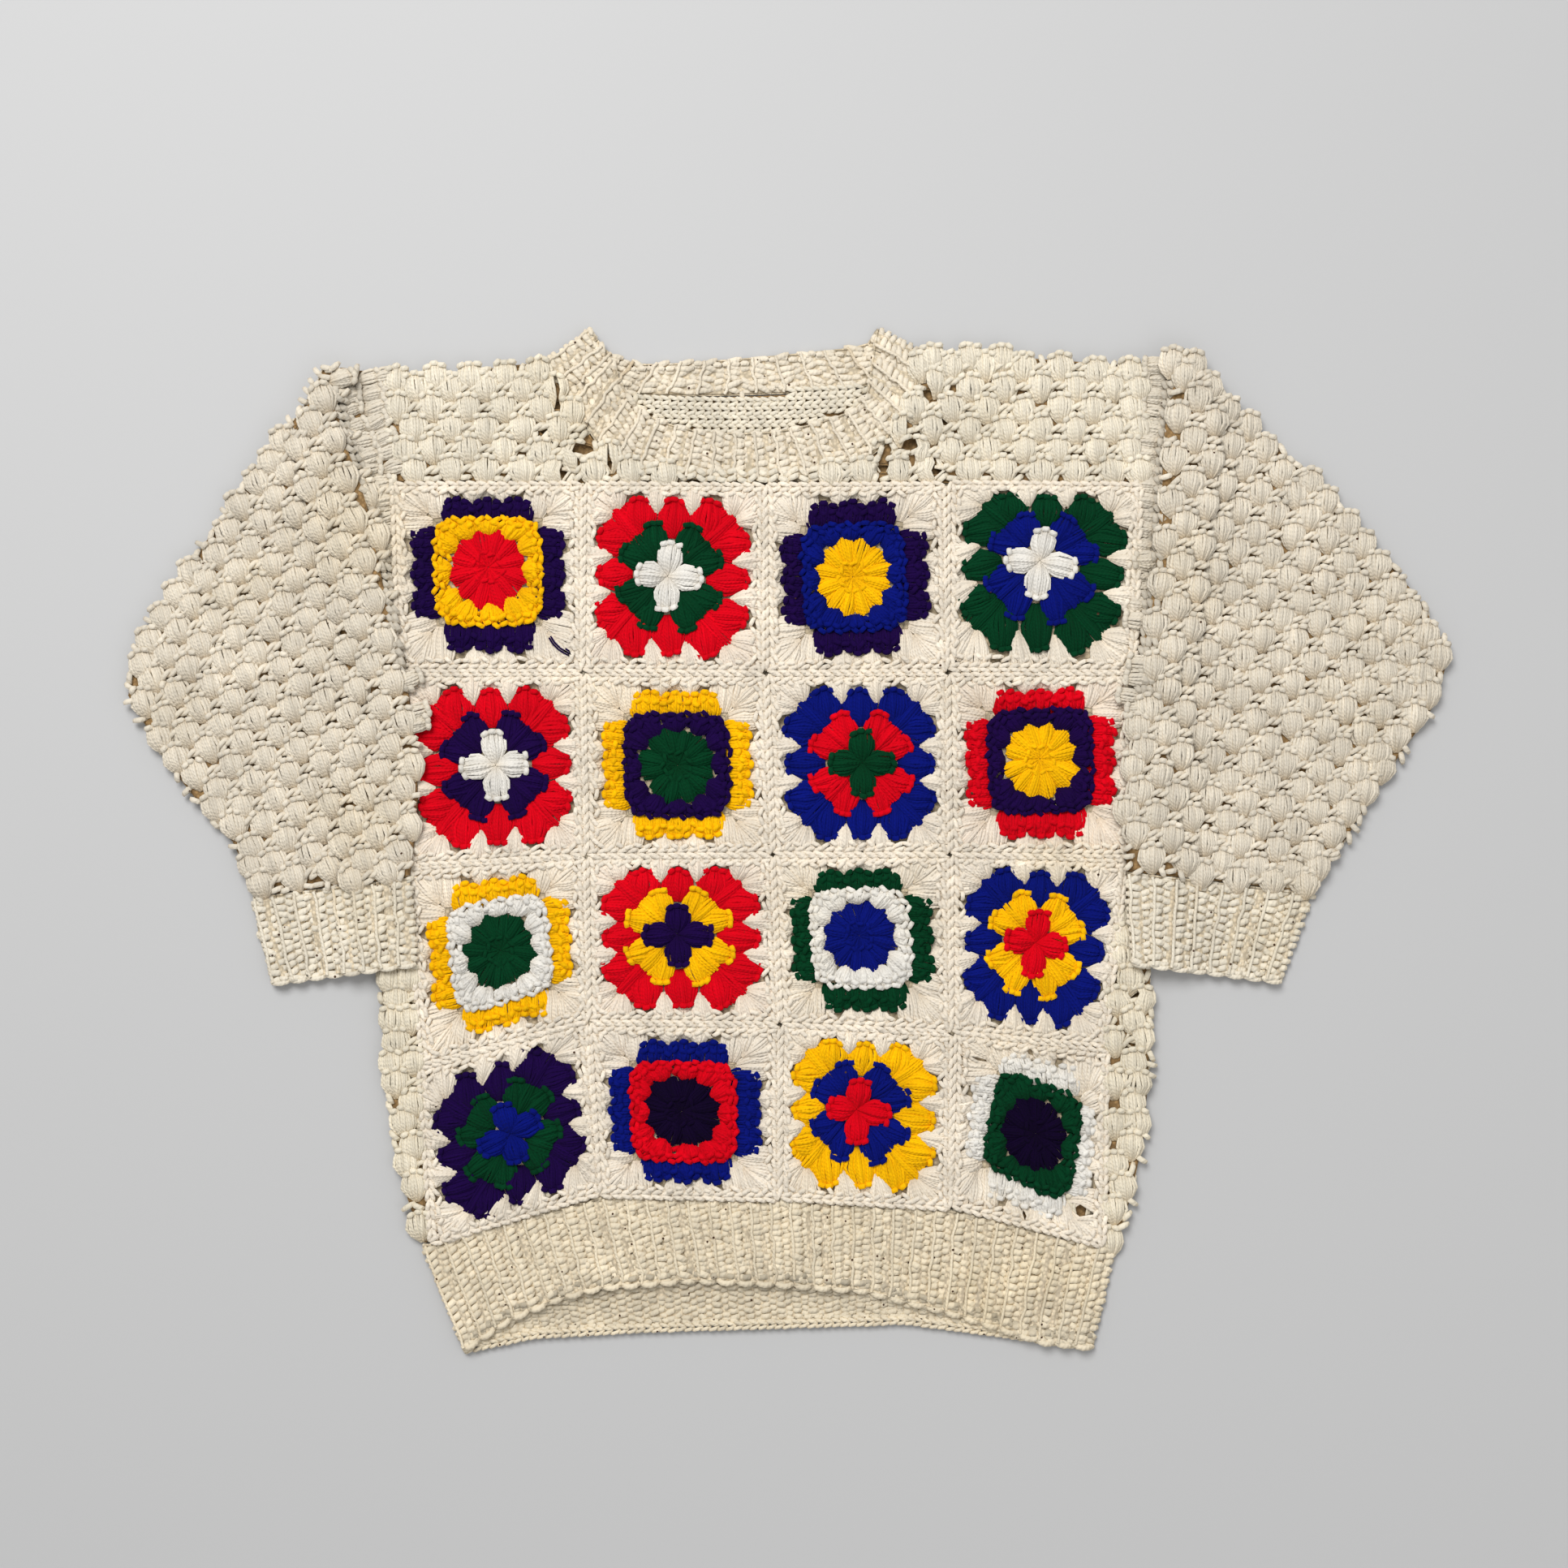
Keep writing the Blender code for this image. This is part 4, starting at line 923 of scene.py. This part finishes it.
def neck_rows(yarn):
    """Rows of V links of the back, which show inside the neck."""
    dip, middle, half = NECK_DIP
    for height in np.arange(*NECK_ROWS):
        xs = np.arange(*NECK_SPAN, SPAN_STEP)
        path = [(x, height + dip * ((x - middle) / half) ** 2) for x in xs]
        path = [place for place in path if surface.visible(yarn.node, *place)]
        if len(path) > 3:
            ground = surface.height(yarn.node, *path[len(path) // 2]) - 0.3
            braid(yarn, path, ground, cream_of("yoke"), width=4.6, radius=1.6)


def band_seam(yarn):
    """Loops where the neckband is joined to the front."""
    lowest, middle, rise = BAND_SEAM
    for row, lift in BAND_SEAM_ROWS:
        xs = np.arange(*BAND_SEAM_SPAN, SPAN_STEP)
        path = [(x, lowest + row + rise * (x - middle) ** 2) for x in xs]
        lumps(yarn, path, FRONT_GROUND + lift, yarn.cream, pitch=6.4, radius=2.2, lean=0.5)


def hem_yarn():
    yarn = Yarn("hem_rib")
    rib_patch(yarn, HEM_FRONT_EDGE, HEM_TOP_EDGE, "hem")
    ridge_lines(yarn, HEM_FRONT_EDGE, HEM_TOP_EDGE, "hem", radius=1.15)
    scallops(yarn, HEM_FRONT_EDGE, "hem", drop=1.5, radius=2.3)
    under = [(x, y + HEM_OVERLAP) for x, y in HEM_FRONT_EDGE]
    # Darker, as painted shade and painted shadow: this strip lies under the front's lower edge
    rib_patch(yarn, HEM_BACK_EDGE, under, "hem back", shade_scale=0.95, size=0.85, depth=0.4, edge_shadow=0.4)
    braid(yarn, HEM_BACK_EDGE, 2.4, yarn.cream, width=4.0, radius=1.4)
    return yarn


def cuff_yarn(node, hand, sleeve):
    yarn = Yarn(node)
    rib_patch(yarn, hand, sleeve, "cuff")
    scallops(yarn, hand, "cuff", drop=0.8, radius=2.0)
    ridge_lines(yarn, hand, sleeve, "cuff")
    return yarn


def neckband_yarn():
    yarn = Yarn("neckband")
    for band, ribs, size in ((BAND_FRONT, "neckband", 0.95), (BAND_BACK, "neckband back", 0.9)):
        inner = [(x, y) for x, y, _, _ in band]
        outer = [(x, y) for _, _, x, y in band]
        rib_patch(yarn, inner, outer, ribs, size=size)
        ridge_lines(yarn, inner, outer, ribs)
    return yarn


# Materials
class Finish:
    """A material in the making, with its nodes laid over the object's own coordinates."""

    def __init__(self, name, **settings):
        self.material = bpy.data.materials.new(name)
        self.material.use_nodes = True
        self.nodes = self.material.node_tree.nodes
        self.link = self.material.node_tree.links.new
        self.shader = self.nodes["Principled BSDF"]
        for socket, value in settings.items():
            self.shader.inputs[socket.replace("_", " ")].default_value = value
        self.place = self.nodes.new("ShaderNodeTexCoord").outputs["Object"]

    def add(self, kind, inputs=(), **values):
        """A node with those properties, and those of its inputs linked or set."""
        node = self.nodes.new(f"ShaderNode{kind}")
        for key, value in values.items():
            setattr(node, key, value)
        for key, value in dict(inputs).items():
            if isinstance(value, bpy.types.NodeSocket):
                self.link(value, node.inputs[key])
            else:
                node.inputs[key].default_value = value
        return node

    def maths(self, operation, first, second=0.5):
        return self.add("Math", {0: first, 1: second}, operation=operation).outputs[0]

    def texture(self, kind, **inputs):
        return self.add(kind, {"Vector": self.place, **inputs})

    def mixed(self, blend, factor, first, second):
        inputs = {0: factor, 6: first, 7: (*second, 1)}
        return self.add("Mix", inputs, data_type="RGBA", blend_type=blend).outputs[2]

    def bump(self, height, distance, strength=1.0, **values):
        inputs = {"Height": height, "Distance": distance, "Strength": strength}
        self.link(self.add("Bump", inputs, **values).outputs[0], self.shader.inputs["Normal"])


def yarn_material(name, specks):
    """Plied yarn: colour from the strand, plies and fibres in the bump, specks of chaff in places.

    specks is the share of the cells of 4 mm that have one.
    """
    finish = Finish(name, Roughness=0.9, Sheen_Weight=0.02, Sheen_Roughness=0.45,
                    Specular_IOR_Level=0.08)
    maths = finish.maths
    ply = finish.add("Attribute", attribute_name="ply").outputs["Vector"]
    parts = finish.add("SeparateXYZ", {0: ply}).outputs
    angle = maths("ARCTAN2", parts[1], parts[0])
    turns = maths("MULTIPLY", parts[2], 2 * math.pi / PLY_TWIST)
    twist = maths("SINE", maths("ADD", maths("MULTIPLY", angle, 2.0), turns))
    fibre = finish.texture("TexNoise", Scale=1800.0, Detail=2.0).outputs[0]
    height = maths("ADD", maths("MULTIPLY", twist, 0.35), maths("MULTIPLY", fibre, 0.9))
    finish.bump(height, 0.0004, strength=0.7)

    colour = finish.add("Attribute", attribute_name="yarn").outputs["Color"]
    patch = finish.texture("TexNoise", Scale=45.0, Detail=3.0).outputs[0]
    shade = finish.add("MapRange", {"Value": patch, "From Min": 0.3, "From Max": 0.7,
                                    "To Min": 0.88, "To Max": 1.06}).outputs[0]
    shaded = finish.add("VectorMath", {0: colour, "Scale": shade}, operation="SCALE").outputs[0]
    stain = finish.texture("TexNoise", Scale=9.0, Detail=4.0).outputs[0]
    yellowed = maths("MAXIMUM", maths("MULTIPLY", maths("SUBTRACT", stain, 0.54), 3.5), 0.0)
    stained = finish.mixed("MULTIPLY", yellowed, shaded, STAIN_TINT)
    cells = finish.texture("TexVoronoi", Scale=250.0).outputs
    chosen = finish.add("SeparateColor", {0: cells["Color"]}).outputs[0]
    speck = maths("MULTIPLY", maths("LESS_THAN", cells["Distance"], 0.2),
                  maths("LESS_THAN", chosen, specks))
    specked = finish.mixed("MIX", speck, stained, SPECK_COLOUR)
    finish.link(specked, finish.shader.inputs["Base Color"])
    return finish.material


def cloth_material(name, rgb, scale, relief):
    """Cloth under the stitches: mottled with painted shade that darkens it where its bumps sink, bumps
    as wide as 1 / scale metres.
    """
    finish = Finish(name, Roughness=0.95, Specular_IOR_Level=0.08)
    noise = finish.texture("TexNoise", Scale=260.0).outputs[0]
    cells = finish.texture("TexVoronoi", Scale=scale).outputs["Distance"]
    relief_map = finish.add("Math", {0: noise, 1: 0.35, 2: cells}, operation="MULTIPLY_ADD").outputs[0]
    # Painted shade: darker where the bump below sinks
    ramp = finish.add("ValToRGB", {0: relief_map})
    for element, position, share in zip(ramp.color_ramp.elements, (0.35, 0.85), (1.0, 0.6)):
        element.position = position
        element.color = (*(rgb * share), 1)
    finish.link(ramp.outputs[0], finish.shader.inputs["Base Color"])
    finish.bump(relief_map, relief, invert=True)
    return finish.material


def inner_cloth(node, upper, lower):
    """A thin shell inside a node, with another finish on its sides and underneath."""
    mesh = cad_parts[node].data.copy()
    mesh.name = f"{node}_cloth"
    normals = np.empty(len(mesh.vertices) * 3)
    points = np.empty(len(mesh.vertices) * 3)
    mesh.vertices.foreach_get("normal", normals)
    mesh.vertices.foreach_get("co", points)
    points = (points - normals * SINK * MM).reshape(-1, 3)
    points[:, 2] = np.maximum(points[:, 2], FLOOR_GAP * MM)
    if node.startswith("square"):
        points[:, 2] = np.minimum(points[:, 2], (FRONT_GROUND + 0.2) * MM)
    mesh.vertices.foreach_set("co", points.ravel())
    mesh.materials.clear()
    mesh.materials.append(upper)
    mesh.materials.append(lower)
    for face in mesh.polygons:
        face.material_index = int(face.normal.z < 0.3)
    return placed(f"{node}_cloth", mesh)


def place_floor():
    mesh = bpy.data.meshes.new("floor")
    corners = [(x * FLOOR_REACH, y * FLOOR_REACH, 0) for x, y in ((-1, -1), (1, -1), (1, 1), (-1, 1))]
    mesh.from_pydata(corners, [], [(0, 1, 2, 3)])
    grey = (FLOOR_GREY, FLOOR_GREY, FLOOR_GREY, 1)
    mesh.materials.append(Finish("floor", Base_Color=grey, Roughness=0.6).material)
    placed("floor", mesh)


def place_light(name, place, size, power):
    light = bpy.data.lights.new(name, "AREA")
    light.size = size
    light.energy = power
    lamp = placed(name, light)
    lamp.location = place
    lamp.rotation_euler = (-Vector(place)).to_track_quat("-Z", "Y").to_euler()


def place_camera():
    lens = bpy.data.cameras.new("camera")
    lens.sensor_width = SENSOR
    lens.lens = SENSOR * CAMERA_HEIGHT / CAMERA_SPAN
    camera = placed("camera", lens)
    camera.location = (CAMERA_PLACE[0] * MM, CAMERA_PLACE[1] * MM, CAMERA_HEIGHT * MM)
    bpy.context.scene.camera = camera


def place_world():
    world = bpy.data.worlds.new("studio")
    world.use_nodes = True
    background = world.node_tree.nodes["Background"].inputs
    background["Color"].default_value = (1, 1, 1, 1)
    background["Strength"].default_value = WORLD_LIGHT
    bpy.context.scene.world = world


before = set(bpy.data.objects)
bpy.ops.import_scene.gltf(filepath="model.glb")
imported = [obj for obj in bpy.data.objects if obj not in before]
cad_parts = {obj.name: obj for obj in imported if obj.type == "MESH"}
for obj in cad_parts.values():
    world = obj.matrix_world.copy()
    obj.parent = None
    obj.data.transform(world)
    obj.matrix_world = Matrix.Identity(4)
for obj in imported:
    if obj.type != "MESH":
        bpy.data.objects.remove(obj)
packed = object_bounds()
surface = Surface(sorted(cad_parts))
yarn_looks = {}
cloth_looks = {}
for slot, (name, rgb, specks) in SLOT_LOOKS.items():
    yarn_looks[slot] = yarn_material(f"{slot}_yarn", specks)
    cloth_looks[slot] = cloth_material(name, linear_rgb(rgb), *GAP_BUMPS)
underside = cloth_material("under_stitches", colour_of("cream") * 0.9, *UNDERSIDE_BUMPS)

stitches = {}
for row in range(4):
    for column in range(4):
        square = Square(row, column)
        stitches[square.name] = square_yarn(square)
for node, layout in ROWS.items():
    stitches[node] = Yarn(node)
    cluster_rows(stitches[node], *layout)
    if node in ARMHOLES:
        sideways_clusters(stitches[node])
neck_rows(stitches["back"])
band_seam(stitches["yoke_left"])
for node in ROWS:
    fill_gaps(stitches[node])
stitches["hem_rib"] = hem_yarn()
for node, edges in CUFF_EDGES.items():
    stitches[node] = cuff_yarn(node, *edges)
stitches["neckband"] = neckband_yarn()

for node in sorted(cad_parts):
    kind = node.split("_")[0]
    slot, width, length, area, held = PIECES[kind]
    cloth = inner_cloth(node, cloth_looks[slot], underside)
    if kind != "square":
        edge_knots(stitches[node])
    piece = stitches[node].build(yarn_looks[slot])
    for part in (cloth, piece):
        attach(part, "root")
        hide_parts(node)

bpy.context.scene.view_settings.view_transform = "Standard"
place_floor()
for light in LIGHTS:
    place_light(*light)
place_world()
place_camera()
